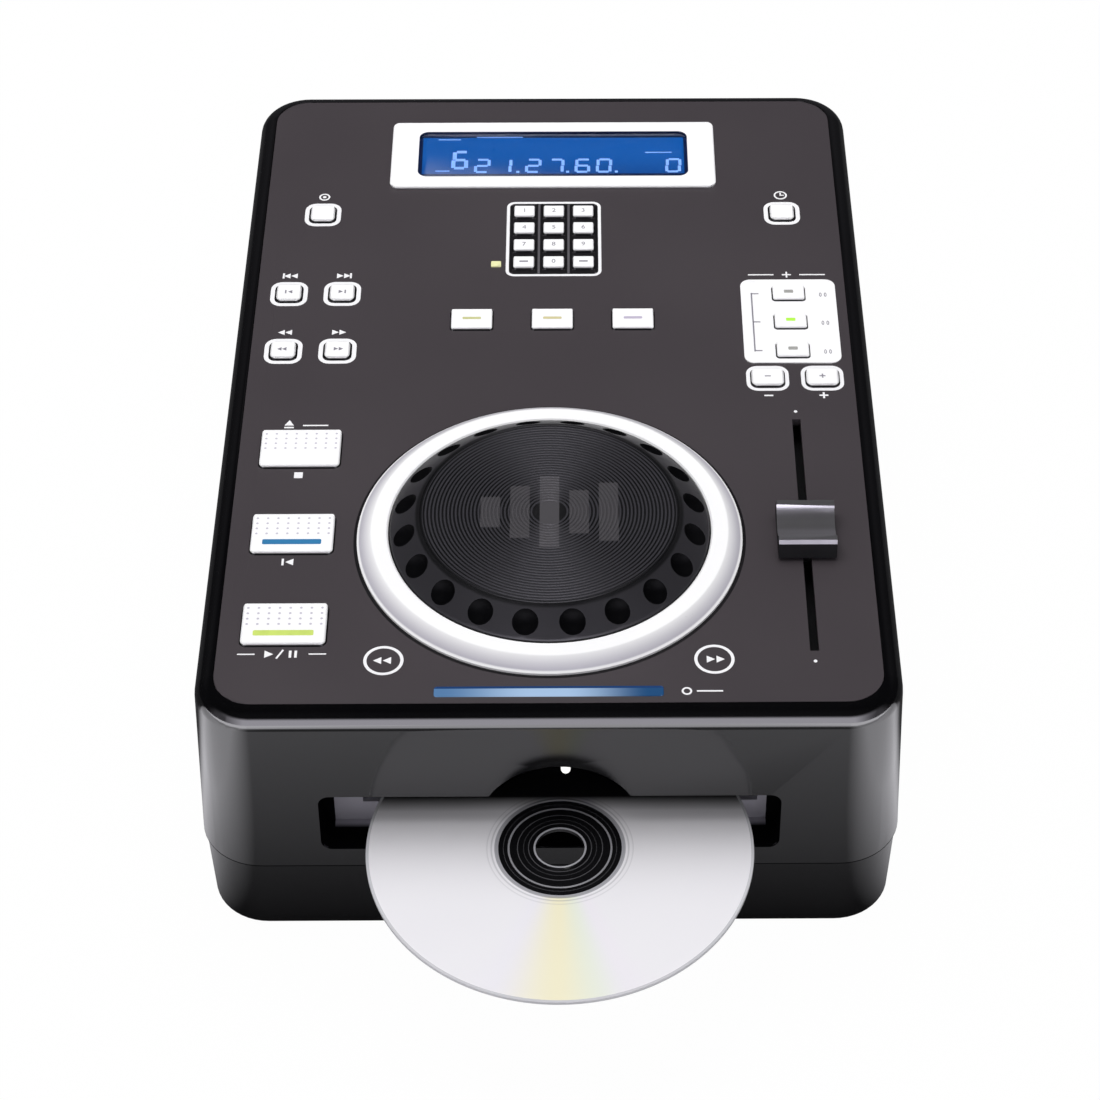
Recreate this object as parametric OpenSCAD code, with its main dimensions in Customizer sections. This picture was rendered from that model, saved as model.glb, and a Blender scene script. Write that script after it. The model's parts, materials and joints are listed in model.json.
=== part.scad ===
// Tabletop DJ CD player: a slot-loading deck with a jog wheel, a pitch fader and a full set of keys.
// The origin is on the table, under the middle of the whole object. X runs to the right, Y to the back.

/* [Housing] */
// Width of the housing at the line where its halves meet
body_w = 222; // [220:1:240]
// Depth of the housing at the line where its halves meet
body_l = 326; // [324:1:350]
// Height of the control panel above the table
body_h = 98; // [97:1:110]
// Height of the line where the halves meet
parting_z = 32.5; // [30:0.5:34]
// Radius of the upright corners
corner_r = 20; // [16:0.5:22]
// Rounding along the top edge
edge_r = 6; // [4:0.5:6.5]
// Rounding along the bottom edge
base_r = 2; // [1:0.5:4]
// Thickness of the housing walls
wall = 3; // [2.6:0.1:3.4]
// Slope of the upper walls, in degrees
draft = 2.3; // [1.5:0.1:2.8]
// Slope of the lower walls, in degrees
base_draft = 2; // [0.5:0.1:2.5]
// How far the lower half stands in from the upper half
parting_step = 0.7; // [0.3:0.1:1]
// Height of the lip that lines up the halves
lip_h = 3; // [2:0.5:3.5]
// Radius of the screw posts
post_r = 4.5; // [4.2:0.1:4.8]

/* [Feet and screws] */
// Radius of a rubber foot
foot_r = 9; // [7:0.5:12]
// Height that the feet lift the housing
foot_h = 2; // [1.5:0.5:4]
// Depth of the seat that a foot is glued into
foot_seat = 1; // [0.5:0.1:1.5]
// Radius of a housing screw's shank
screw_r = 1.5; // [1.2:0.1:1.6]
// Radius of a housing screw's head
screw_head_r = 3; // [2.6:0.1:3.2]
// Length of a housing screw's shank
screw_len = 22; // [18:1:26]

/* [Control panel] */
// Width of the glossy rim around the panel
rim_w = 6.2; // [6:0.1:8]
// Thickness of the panel
panel_t = 2.5; // [2:0.1:3]
// Radius of the panel's corners
panel_r = 12; // [8:0.5:14]
// Width of the ledge that carries the panel
ledge_w = 4; // [3:0.1:4.2]
// Thickness of that ledge
ledge_t = 2.5; // [2:0.1:3]
// Gap around the panel in its recess
panel_gap = 0.2; // [0.1:0.05:0.3]
// Gap around every button in its hole
button_gap = 0.4; // [0.3:0.05:0.6]
// Depth of the circuit board's top below the panel's face
board_drop = 12; // [11.5:0.1:13]

/* [Transport buttons] */
// Width of a transport button
big_w = 26.4; // [22:0.2:28]
// Depth of a transport button, front to back
big_l = 17.8; // [16:0.1:21]
// Height of a transport button above the panel
big_rise = 1.2; // [1:0.1:2.5]
// Travel of a transport button
big_travel = 1.2; // [0.8:0.1:1.5]
// Distance between the transport buttons
big_pitch = 40.7; // [36:0.1:41]

/* [Small buttons] */
// Width of a small square button
small_w = 8.6; // [7:0.2:9.4]
// Height of a small button above the panel
small_rise = 1.1; // [1:0.1:2]
// Travel of a small button
small_travel = 0.7; // [0.5:0.1:0.9]
// Distance between the two buttons of a pair
pair_pitch = 18.5; // [17:0.1:18.6]
// Width of a pitch bend button
bend_w = 11; // [9:0.2:12]
// Width of a pitch range button
range_w = 11; // [9:0.2:12]
// Depth of a pitch range button
range_l = 7.6; // [6.6:0.1:9]
// Distance between the pitch range buttons
range_pitch = 15.3; // [13:0.1:15.5]
// Width of a mode button
mode_w = 14.2; // [12:0.2:16]
// Depth of a mode button
mode_l = 10.4; // [9:0.1:12]
// Distance between the mode buttons
mode_pitch = 27.8; // [22:0.2:28]

/* [Keypad] */
// Width of a keypad key
key_w = 7.4; // [6.4:0.1:8]
// Depth of a keypad key
key_l = 6.2; // [5.6:0.1:7]
// Height of a keypad key above the panel
key_rise = 1.4; // [1:0.1:2.4]
// Distance between the keypad's columns
key_pitch_x = 10.5; // [10.2:0.1:11.5]
// Distance between the keypad's rows
key_pitch_y = 9.7; // [9.4:0.1:10.4]

/* [Display] */
// Width of the display's frame
bezel_w = 118.4; // [112:0.2:124]
// Depth of the display's frame
bezel_l = 39.2; // [38:0.1:42]
// Height of the display's frame above the panel
bezel_rise = 1.2; // [0.8:0.1:1.8]
// Width of the display's window
window_w = 98.6; // [92:0.2:100]
// Depth of the display's window
window_l = 27.1; // [24:0.1:28]
// Radius of the window's corners
window_r = 3.5; // [2.5:0.1:4.5]
// Thickness of the window's lens
lens_t = 2; // [1.5:0.1:2.2]

/* [Jog wheel] */
// Outer radius of the silver ring
ring_r = 61.6; // [61:0.1:62]
// Height of the silver ring above the panel
ring_rise = 4.3; // [3.5:0.1:5]
// Outer radius of the jog wheel
jog_r = 51; // [49:0.2:51.4]
// Radius of the jog wheel's flat top
jog_flat_r = 42; // [38:0.2:42.4]
// Height of the jog wheel's flat top above the panel
jog_rise = 11; // [10:0.1:12]
// Gap between the jog wheel and the ring
jog_gap = 0.5; // [0.4:0.05:0.8]
// Number of finger dimples
dimple_count = 20; // [16:1:22]
// Radius of the ball that shapes a dimple
dimple_ball = 5.1; // [4.8:0.1:6]
// Depth of a dimple
dimple_depth = 2.2; // [1.5:0.1:2.2]
// Radius of the steel pin that the wheel turns on
spindle_r = 4; // [3:0.1:4.5]

/* [Pitch fader] */
// Length of the fader's slot
fader_slot = 107.5; // [106:0.5:109]
// Width of the fader's slot
fader_slot_w = 2.8; // [2.8:0.1:3.2]
// Distance that the fader's knob moves
fader_travel = 100; // [80:1:100]
// Width of the fader's knob
fader_knob_w = 18.5; // [14:0.5:20]
// Depth of the fader's knob, front to back
fader_knob_l = 22; // [18:0.5:22]
// Height of the fader's knob above the panel
fader_knob_h = 7.5; // [6:0.5:11]

/* [Disc and slot] */
// Radius of the disc
disc_r = 60; // [40:1:60]
// Thickness of the disc
disc_t = 1.2; // [1.1:0.1:1.2]
// Radius of the hole in the disc
disc_hole_r = 7.5; // [7.5:0.1:7.6]
// Height of the disc's upper face above the table
disc_z = 51.7; // [50:0.1:53]
// How far the ejected disc's centre stands in front of the housing
disc_eject = 10; // [5:0.5:12]
// Sideways place of the disc from the middle of the housing
disc_x = 3.1; // [1:0.1:4]
// Width of the slot's pocket
pocket_w = 143.5; // [136:0.5:146]
// Height of the pocket above the disc
pocket_up = 12; // [10:0.2:13]
// Height of the pocket below the disc
pocket_down = 11.4; // [10:0.2:12]
// Depth of the pocket
pocket_deep = 12; // [10:0.5:13]
// Radius of the pocket's corners
pocket_r = 3.5; // [2:0.1:5]
// Radius of the ball that shapes the finger scoop
scoop_ball = 25.4; // [24:0.1:26]
// How far that ball's centre stands in front of the housing
scoop_out = 4; // [3:0.5:6]

/* [Disc drive] */
// Height of the opening that the disc passes through
throat_h = 5; // [4.4:0.1:6]
// Radius of the loading roller
roller_r = 5; // [4:0.1:5.5]
// Radius of the turntable under the disc
turntable_r = 15; // [12:0.5:16]
// Distance that the traverse rises to take the disc
traverse_lift = 2.9; // [2.6:0.1:3]
// Distance that the laser sled moves
sled_travel = 34; // [28:1:34]
// Thickness of the drive's steel sheet
sheet_t = 1.5; // [1.2:0.1:1.8]

/* [Rear] */
// Depth of the recess around the sockets
rear_recess = 4; // [3:0.2:5]
// Outer radius of a phono socket
phono_r = 4.15; // [4.1:0.05:4.2]
// Length of a phono socket's barrel
phono_len = 8; // [7:0.5:9]
// Distance between the phono sockets
phono_pitch = 16; // [14:0.5:18]
// Angle between the power switch's two positions
rocker_swing = 16; // [12:1:18]

/* [Hidden] */
$fn = 64;
eps = 0.01;
big_names = ["play_button", "cue_button", "stop_button"];
mode_names = ["mode_button_left", "mode_button_centre", "mode_button_right"];
range_names = ["pitch_range_low", "pitch_range_mid", "pitch_range_high"];
key_names = [
    "key_1", "key_2", "key_3", "key_4", "key_5", "key_6",
    "key_7", "key_8", "key_9", "key_lower_left", "key_0", "key_lower_right"
];
square_names = [
    "search_back_button", "search_forward_button", "skip_back_button", "skip_forward_button",
    "single_button", "time_button"
];
bend_names = ["bend_minus_button", "bend_plus_button"];
fixed_names = [
    "upper_housing", "lower_housing", "feet", "housing_screws", "face_panel", "display_bezel",
    "display_lens", "display_module", "jog_ring", "jog_spindle", "jog_platter", "jog_encoder",
    "pitch_plate", "fader_body", "fader_knob", "light_bar", "indicator_leds", "control_board",
    "slot_felts", "disc", "drive_chassis", "loading_roller", "traverse_frame", "spindle_motor",
    "turntable", "laser_sled", "main_board", "power_supply", "phono_sockets", "power_inlet",
    "power_rocker"
];

// Places along Y are written as a distance back from the front wall at the height of the slot.
upper_slope = tan(draft);
lower_slope = tan(base_draft);
front_lean = (disc_z - parting_z) * upper_slope;
jack_out = phono_len + 1.5 - rear_recess;
face_y = (disc_r + disc_eject - (body_l - front_lean + jack_out)) / 2;
function back(d) = face_y + d;
front_y = face_y - front_lean;
rear_y = front_y + body_l;
core_y = (front_y + rear_y) / 2;
core_w = body_w - 2 * corner_r;
core_l = body_l - 2 * corner_r;

// The rim and the panel at the top
rim_z = body_h - edge_r;
rim_in = (rim_z - parting_z) * upper_slope;
panel_w = body_w - 2 * (rim_in + rim_w);
panel_l = body_l - 2 * (rim_in + rim_w);
panel_under = body_h - panel_t;
ledge_z = panel_under - ledge_t;
panel_front = core_y - panel_l / 2;
panel_back = core_y + panel_l / 2;
panel_side = panel_w / 2;
function up(h) = body_h + h;

// Columns and rows of the controls
left_x = -(panel_side - 20.2);
right_x = panel_side - 19.9;
big_x = -((ring_r + panel_side) / 2 + 0.2);
big_y = panel_front + 33.3;
search_y = big_y + 2 * big_pitch + 50.15;
skip_y = search_y + 30.8;
square_back_y = panel_back - 68.4;
keypad_x = 0.7;
keypad_y = panel_back - 82.5;
mode_x = 0.4;
mode_y = keypad_y - 1.5 * key_pitch_y - 30.8;
display_x = 0.3;
display_y = panel_back - 33.8;
jog_y = panel_front + ring_r + 11.3;
fader_case_w = 12;
fader_case_l = 128;
fader_case_h = 9;
fader_case_t = 1;
fader_x = panel_side - 20.6;
fader_y = panel_front + fader_case_l / 2 + 11.2;
fader_rest = -3;
bend_y = fader_y + fader_case_l / 2 + 10.6;
bend_l = small_w;
plate_rise = 0.5;
plate_w = 33;
plate_l = 44.7;
plate_r = 3.5;
plate_x = right_x - 0.1;
plate_y = bend_y + bend_l / 2 + plate_l / 2 + 3.35;
range_y = plate_y - 0.8;
bar_y = panel_front + 4.6;
bar_w = 69.8;
bar_l = 4;
bar_rise = 0.3;
key_led_x = keypad_x - 1.5 * key_pitch_x - 4.5;
key_led_y = keypad_y - 1.5 * key_pitch_y;
key_led_w = 3.5;
key_led_l = 3;
lens_lip = 1.8;
lens_gap = 0.1;
collar_t = 1.5;
collar_w = window_w + 2 * lens_lip + 2 * collar_t;
collar_l = window_l + 2 * lens_lip + 2 * collar_t;
boss_x = 46;
PANEL_BOSSES = [for (y = [jog_y + ring_r + 2.4, mode_y - 10, keypad_y - 28, keypad_y + 2], s = [-1, 1])
    [s * boss_x, y]];

// Small parts that repeat
big_r = 2;
small_r = 2.4;
mode_r = 1;
key_r = 1.2;
cap_edge = 0.6;
flange_t = 2;
flange_w = 0.9;
flange_gap = 0.05;
flange_room = flange_w + button_gap;
stem_r = 1.6;
switch_w = 6;
switch_h = 3.5;
plunger_r = 1.75;
plunger_h = 0.8;
stem_gap = 0.15;
board_t = 1.6;
board_z = body_h - board_drop;
range_rise = small_rise + plate_rise;

// Every button as [name, x, y, width, depth, corner radius, height above the panel, travel]
function range3(i) = i - 1;
BIG = [for (i = [0:2]) [big_names[i], big_x, big_y + i * big_pitch, big_w, big_l, big_r, big_rise,
    big_travel]];
MODE = [for (i = [0:2]) [mode_names[i], mode_x + range3(i) * mode_pitch, mode_y, mode_w, mode_l, mode_r,
    small_rise, small_travel]];
RANGE = [for (i = [0:2]) [range_names[i], right_x, range_y + range3(i) * range_pitch, range_w, range_l,
    mode_r, range_rise, small_travel]];
KEYS = [for (i = [0:11]) [key_names[i], keypad_x + range3(i % 3) * key_pitch_x,
    keypad_y + (1.5 - floor(i / 3)) * key_pitch_y, key_w, key_l, key_r, key_rise, small_travel]];
square_x = left_x + 0.1;
SQUARE_PLACES = [
    [square_x - pair_pitch / 2, search_y], [square_x + pair_pitch / 2, search_y],
    [square_x - pair_pitch / 2, skip_y], [square_x + pair_pitch / 2, skip_y],
    [square_x, square_back_y], [right_x, square_back_y]
];
SQUARES = [for (i = [0:5]) [square_names[i], SQUARE_PLACES[i].x, SQUARE_PLACES[i].y, small_w, small_w,
    small_r, small_rise, small_travel]];
BENDS = [for (i = [0:1]) [bend_names[i], right_x + (i - 0.5) * pair_pitch, bend_y, bend_w, bend_l, small_r,
    small_rise, small_travel]];
BUTTONS = concat(BIG, MODE, RANGE, KEYS, SQUARES, BENDS);

// Screw posts that join the halves, and feet
post_x = core_w / 2 + 5;
post_front = front_y + corner_r;
post_left = big_y + 2 * big_pitch + 20.5;
post_right = bend_y - 14.6;
post_rear = rear_y - corner_r;
POSTS = [
    [-post_x, post_front], [post_x, post_front], [-post_x, post_left], [post_x, post_right],
    [-post_x, post_rear], [post_x, post_rear]
];
screw_head_h = 2.4;
screw_gap = 0.05;
head_gap = 0.4;
head_z = parting_z - screw_len / 2 - screw_head_h;
foot_x = core_w / 2 - 12;
foot_in = 32;
FEET = [for (y = [front_y + foot_in, rear_y - foot_in], s = [-1, 1]) [s * foot_x, y]];
floor_z = foot_h + wall;

// The slot, and the block of plastic behind it
pocket_z0 = disc_z - pocket_down;
pocket_z1 = disc_z + pocket_up;
block_wall = 6;
block_deep = scoop_ball - scoop_out + 5.6;
block_w = pocket_w + 2 * block_wall;
block_z0 = pocket_z0 - 4.3;
block_z1 = disc_z + scoop_ball + 5;
throat_z = disc_z - disc_t / 2 - throat_h / 2;
throat_w = 2 * disc_r + 4;
felt_gap = 0.5;
felt_l = 2.5;
felt_in = block_deep - 1.5 - felt_l;
led_r = 1.5;
led_x = disc_x + 1.9;
led_in = 3.5;
led_tip_z = disc_z + scoop_ball - 5.6;

// Phono sockets, inlet and switch
rear_face = rear_y - rear_recess;
rear_z0 = disc_z - 13;
rear_z1 = disc_z + 27;
rear_w = core_w;
rear_wall = 3;
rear_border = 3;
socket_z = disc_z + 6;
phono_x = -50;
phono_hole_r = 1.6;
phono_hole_deep = 12;
flange_out = 1.5;
inlet_x = 46;
inlet_w = 60;
inlet_h = 30;
inlet_deep = 24;
inlet_out = 2;
inlet_gap = 0.2;
hole_gap = 1;
inlet_body_w = 52;
inlet_body_h = 25;
c_recess_w = 24.6;
c_recess_h = 16.8;
c_recess_deep = 15;
c_x = inlet_x - 11;
pin_t = 2;
pin_h = 4;
pin_len = 11;
pin_pitch = 7;
pin_drop = 2;
rocker_x = inlet_x + 14.5;
rocker_w = 13;
rocker_h = 19;
rocker_r = 1.25;
rocker_gap = 0.5;
rocker_in = 4;
rocker_well = 13;

// Jog wheel
jog_floor_z = up(-11.5);
jog_floor_t = 2;
ring_inner = jog_r + jog_gap;
ring_flat = ring_inner + 5.5;
ring_skirt = ring_r - 2.1;
jog_hole_r = ring_skirt + 0.4;
jog_wall = 2.5;
jog_skirt = up(-2);
jog_lip_z = up(ring_rise + 0.3);
hub_r = 12;
hub_z = up(-6);
spin_gap = 0.05;
spindle_top = up(6.5);
spindle_z = jog_floor_z - 3;
encoder_r = 44;
encoder_t = 1;
encoder_slots = 36;

// Pitch fader
fader_lift = 1.2;
stem_w = 2.2;
stem_l = 6;
knob_valley = 3.6;
knob_valley_r = 9;

// Disc drive
drive_w = 144;
drive_front = block_deep + 1;
drive_l = 134;
drive_z = 30;
drive_top = disc_z + 10;
drive_mid = drive_front + drive_l / 2;
roller_in = drive_front + 9;
roller_gap = 0.3;
roller_z = disc_z - disc_t - roller_gap - roller_r;
roller_shaft = 1.5;
run_gap = 0.05;
loaded_in = drive_front + 50;
traverse_z = drive_z + sheet_t + 1.5;
seat_z = disc_z - disc_t - traverse_lift - 0.1;
motor_r = 12;
motor_h = 7;
shaft_r = 1;
cone_r = disc_hole_r - 0.2;
rail_r = 1.5;
rail_x = 18;
rail_z = traverse_z + sheet_t + 5.5;
sled_w = 44;
sled_l = 21;
sled_h = 8;
sled_home = 26.5;
lens_back = 3;
traverse_w = 104;
traverse_l = 96;
traverse_in = loaded_in - motor_r - 6;
window_border = 6;
drive_post_r = 4;
drive_post_x = drive_w / 2 - 8;

// Boards
main_z = floor_z + 6;
supply_w = 58;
supply_l = 104;
supply_x = core_w / 2 - 32;
main_left = -(core_w / 2 + 2);
main_right = supply_x - supply_w / 2 - 13;
main_w = main_right - main_left;
main_l = 104;
main_x = (main_left + main_right) / 2;
main_y = rear_y - 78;
board_inset = 5;
board_corner = 2;
board_post_r = 3;
DRIVE_POSTS = [for (d = [drive_front + 8, drive_front + drive_l - 8], s = [-1, 1])
    [disc_x + s * drive_post_x, back(d)]];
BOARD_POSTS = [for (b = [[main_x, main_w], [supply_x, supply_w]], sx = [-1, 1], sy = [-1, 1])
    [b[0] + sx * (b[1] / 2 - board_inset), main_y + sy * (main_l / 2 - board_inset)]];

// ---------- shapes that are used more than once ----------

module rounded(w, l, r) {
    square([w - 2 * r, l], center = true);
    square([w, l - 2 * r], center = true);
    for (sx = [-1, 1], sy = [-1, 1]) translate([sx * (w / 2 - r), sy * (l / 2 - r)]) circle(r);
}

module plate(w, l, h, r) {
    linear_extrude(h) rounded(w, l, r);
}

// A wall's half profile, its corner axis at zero, swept around the four corners of the housing
module around(z0, z1) {
    for (turn = [0, 90]) {
        wide = turn == 0 ? core_w : core_l;
        deep = turn == 0 ? core_l : core_w;
        translate([0, core_y, 0]) rotate([90, 0, turn]) linear_extrude(deep, center = true) {
            translate([-wide / 2, z0]) square([wide, z1 - z0]);
            translate([wide / 2, 0]) children();
            mirror([1, 0]) translate([wide / 2, 0]) children();
        }
    }
    for (sx = [-1, 1], sy = [-1, 1]) {
        turn = sy > 0 ? (sx > 0 ? 0 : 90) : (sx > 0 ? 270 : 180);
        translate([sx * core_w / 2, core_y + sy * core_l / 2, 0]) rotate([0, 0, turn])
            rotate_extrude(angle = 90) children();
    }
}

module upper_outer() {
    top_r = corner_r - rim_in;
    polygon([
        [0, parting_z], [corner_r, parting_z], [top_r, rim_z],
        [top_r - edge_r, rim_z], [top_r - edge_r, body_h], [0, body_h]
    ]);
    intersection() {
        translate([top_r - edge_r, rim_z]) circle(edge_r);
        translate([top_r - edge_r, rim_z - eps]) square([edge_r, edge_r + eps]);
    }
}

module upper_inner() {
    r0 = corner_r - wall;
    r1 = r0 - (ledge_z - parting_z) * upper_slope;
    polygon([[0, parting_z - 1], [r0, parting_z - 1], [r0, parting_z], [r1, ledge_z], [0, ledge_z]]);
}

module lower_outer() {
    r1 = corner_r - parting_step;
    r0 = r1 - (parting_z - foot_h - base_r) * lower_slope;
    polygon([
        [0, foot_h], [r0 - base_r, foot_h], [r0 - base_r, foot_h + base_r],
        [r0, foot_h + base_r], [r1, parting_z], [0, parting_z]
    ]);
    intersection() {
        translate([r0 - base_r, foot_h + base_r]) circle(base_r);
        translate([r0 - base_r, foot_h]) square([base_r, base_r + eps]);
    }
}

module lower_inner() {
    least_r = 0.5;
    in_r = max(base_r - wall, least_r);
    r1 = corner_r - parting_step - wall;
    r0 = r1 - (parting_z - foot_h - base_r) * lower_slope;
    polygon([
        [0, floor_z], [r0 - in_r, floor_z], [r0 - in_r, floor_z + in_r],
        [r0, floor_z + in_r], [r1, parting_z], [r1, parting_z + 1], [0, parting_z + 1]
    ]);
    intersection() {
        translate([r0 - in_r, floor_z + in_r]) circle(in_r);
        translate([r0 - in_r, floor_z]) square([in_r, in_r + eps]);
    }
}

// A cap with rounded plan corners and rounded upper edges, standing on z = 0
module soft_cap(w, l, h, r) {
    intersection() {
        plate(w, l, h, r);
        rotate([90, 0, 0]) linear_extrude(l + 2, center = true) cap_side(w, h);
        rotate([90, 0, 90]) linear_extrude(w + 2, center = true) cap_side(l, h);
    }
}

module cap_side(w, h) {
    translate([-w / 2, -1]) square([w, h - cap_edge + 1]);
    translate([cap_edge - w / 2, -1]) square([w - 2 * cap_edge, h + 1]);
    for (s = [-1, 1]) translate([s * (w / 2 - cap_edge), h - cap_edge]) circle(cap_edge);
}

// A button's cap, the flange that keeps it under the panel, and the stem over its switch
module push_button(b) {
    flange_z = panel_under - flange_gap - flange_t;
    stem_z = board_z + switch_h + plunger_h + b[7] + stem_gap;
    translate([b[1], b[2], 0]) {
        translate([0, 0, flange_z + eps]) soft_cap(b[3], b[4], up(b[6]) - flange_z - eps, b[5]);
        translate([0, 0, flange_z]) plate(b[3] + 2 * flange_w, b[4] + 2 * flange_w, flange_t, b[5]);
        translate([0, 0, stem_z]) cylinder(r = stem_r, h = flange_z - stem_z + eps);
    }
}

module button_holes(list, z0, h) {
    for (b = list) translate([b[1], b[2], z0])
        plate(b[3] + 2 * button_gap, b[4] + 2 * button_gap, h, b[5] + button_gap);
}

// ---------- housing ----------

module upper_housing() {
    rear_in = (rear_z1 + rear_border - parting_z) * upper_slope + 0.5;
    color("#201f24") difference() {
        union() {
            difference() {
                around(parting_z, body_h) upper_outer();
                around(parting_z - 1, ledge_z) upper_inner();
                translate([0, core_y, panel_under])
                    plate(panel_w + 2 * panel_gap, panel_l + 2 * panel_gap, panel_t + 1, panel_r + panel_gap);
                translate([0, core_y, ledge_z - 1])
                    plate(panel_w - 2 * ledge_w, panel_l - 2 * ledge_w, ledge_t + 2, panel_r);
                for (b = BUTTONS) translate([b[1], b[2], ledge_z - 1])
                    plate(b[3] + 2 * flange_room, b[4] + 2 * flange_room, ledge_t + 2, b[5]);
            }
            translate([-block_w / 2, back(wall / 2), block_z0])
                cube([block_w, block_deep - wall / 2, block_z1 - block_z0]);
            translate([-rear_w / 2 - rear_border, rear_face - rear_wall, rear_z0 - rear_border])
                cube([
                    rear_w + 2 * rear_border, rear_wall + rear_recess - rear_in,
                    rear_z1 - rear_z0 + 2 * rear_border
                ]);
            for (p = POSTS) translate([p.x, p.y, parting_z])
                cylinder(r = post_r, h = panel_under - parting_z);
        }
        slot_space();
        translate([-rear_w / 2, rear_face, rear_z0]) cube([rear_w, 2 * rear_recess, rear_z1 - rear_z0]);
        for (i = [-1:1]) translate([phono_x + i * phono_pitch, rear_face + 1, socket_z])
            rotate([90, 0, 0]) cylinder(r = phono_r + hole_gap, h = rear_wall + 2);
        translate([
            inlet_x - inlet_body_w / 2 - inlet_gap, rear_face - rear_wall - 1,
            socket_z - inlet_body_h / 2 - inlet_gap
        ]) cube([inlet_body_w + 2 * inlet_gap, rear_wall + 2, inlet_body_h + 2 * inlet_gap]);
        for (p = POSTS) translate([p.x, p.y, parting_z - 1])
            cylinder(r = screw_r + screw_gap, h = screw_len / 2 + 3);
    }
}

// Everything that is cut away around the disc: the pocket, the throat and the finger scoop
module slot_space() {
    translate([0, back(0), 0]) {
        translate([0, pocket_deep, (pocket_z0 + pocket_z1) / 2]) rotate([90, 0, 0])
            linear_extrude(pocket_deep + 8) rounded(pocket_w, pocket_up + pocket_down, pocket_r);
        translate([disc_x - throat_w / 2, 0, throat_z]) cube([throat_w, block_deep + 2, throat_h]);
        intersection() {
            translate([disc_x, -scoop_out, disc_z]) sphere(scoop_ball);
            translate([disc_x - scoop_ball, -10, disc_z - disc_t])
                cube([2 * scoop_ball, scoop_ball + 10, scoop_ball + 2]);
        }
        translate([led_x, led_in, led_tip_z]) cylinder(r = led_r + 0.05, h = block_z1 - led_tip_z + 1);
    }
}

module lower_housing() {
    lip_t = 1.5;
    lip_gap = 0.25;
    lip_in = wall + lip_gap + lip_t / 2;
    seat_gap = 0.1;
    color("#18171b") difference() {
        union() {
            difference() {
                around(foot_h, parting_z) lower_outer();
                around(floor_z, parting_z + 1) lower_inner();
            }
            for (s = [-1, 1]) translate([s * (body_w / 2 - lip_in), core_y, parting_z])
                cube([lip_t, core_l, 2 * lip_h], center = true);
            for (s = [-1, 1]) translate([0, core_y + s * (body_l / 2 - lip_in), parting_z])
                cube([core_w, lip_t, 2 * lip_h], center = true);
            for (p = POSTS) translate([p.x, p.y, floor_z - 1])
                cylinder(r = post_r, h = parting_z - floor_z + 1);
            for (p = DRIVE_POSTS) translate([p.x, p.y, floor_z - 1])
                cylinder(r = drive_post_r, h = drive_z - floor_z + 1);
            for (p = BOARD_POSTS) translate([p.x, p.y, floor_z - 1])
                cylinder(r = board_post_r, h = main_z - floor_z + 1);
        }
        for (p = POSTS) {
            translate([p.x, p.y, 0]) cylinder(r = screw_head_r + head_gap, h = head_z + screw_head_h);
            translate([p.x, p.y, 0]) cylinder(r = screw_r + screw_gap, h = parting_z + 1);
        }
        for (p = FEET) translate([p.x, p.y, 0]) cylinder(r = foot_r + seat_gap, h = foot_h + foot_seat);
    }
}

module feet() {
    bevel = 0.8;
    color("#2b2b2b") for (p = FEET) translate([p.x, p.y, 0]) {
        cylinder(r1 = foot_r - bevel, r2 = foot_r, h = bevel);
        translate([0, 0, bevel]) cylinder(r = foot_r, h = foot_h + foot_seat - bevel);
    }
}

module housing_screws() {
    cross_w = 0.9;
    cross_l = 3.4;
    cross_deep = 1.4;
    color("#2e2e30") for (p = POSTS) translate([p.x, p.y, head_z]) difference() {
        union() {
            cylinder(r1 = screw_head_r - 0.8, r2 = screw_head_r, h = screw_head_h);
            cylinder(r = screw_r, h = screw_head_h + screw_len);
        }
        for (a = [0, 90]) rotate([0, 0, a]) translate([-cross_w / 2, -cross_l / 2, -1])
            cube([cross_w, cross_l, cross_deep + 1]);
    }
}

// ---------- control panel ----------

module face_panel() {
    boss_r = 2.5;
    color("#4a474b") difference() {
        union() {
            translate([0, core_y, panel_under]) plate(panel_w, panel_l, panel_t, panel_r);
            for (p = PANEL_BOSSES) translate([p.x, p.y, board_z])
                cylinder(r = boss_r, h = panel_under - board_z + 1);
        }
        button_holes(concat(BIG, MODE, RANGE, KEYS, SQUARES, BENDS), panel_under - 1, panel_t + 2);
        translate([0, jog_y, panel_under - 1]) cylinder(r = jog_hole_r, h = panel_t + 2);
        translate([display_x, display_y, panel_under - 1])
            plate(collar_w + 0.4, collar_l + 0.4, panel_t + 2, window_r);
        translate([0, bar_y, panel_under - 1]) plate(bar_w + 0.2, bar_l + 0.2, panel_t + 2, 1);
        translate([fader_x - fader_slot_w / 2, fader_y - fader_slot / 2, panel_under - 1])
            cube([fader_slot_w, fader_slot, panel_t + 2]);
        translate([key_led_x, key_led_y, panel_under - 1])
            plate(key_led_w + 0.2, key_led_l + 0.2, panel_t + 2, 0.5);
    }
}

module display_bezel() {
    color("#e8e8ea") difference() {
        union() {
            translate([display_x, display_y, body_h]) soft_cap(bezel_w, bezel_l, bezel_rise, window_r);
            translate([display_x, display_y, panel_under - 1])
                plate(collar_w, collar_l, panel_t + 1 + eps, window_r);
        }
        translate([display_x, display_y, panel_under - 2])
            plate(window_w, window_l, panel_t + bezel_rise + 4, window_r);
        translate([display_x, display_y, panel_under - 2])
            plate(window_w + 2 * lens_lip, window_l + 2 * lens_lip, panel_t + 2, window_r);
    }
}

module display_lens() {
    color("#2f6fc4") translate([display_x, display_y, body_h - lens_t])
        plate(window_w + 2 * (lens_lip - lens_gap), window_l + 2 * (lens_lip - lens_gap), lens_t, window_r);
}

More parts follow.
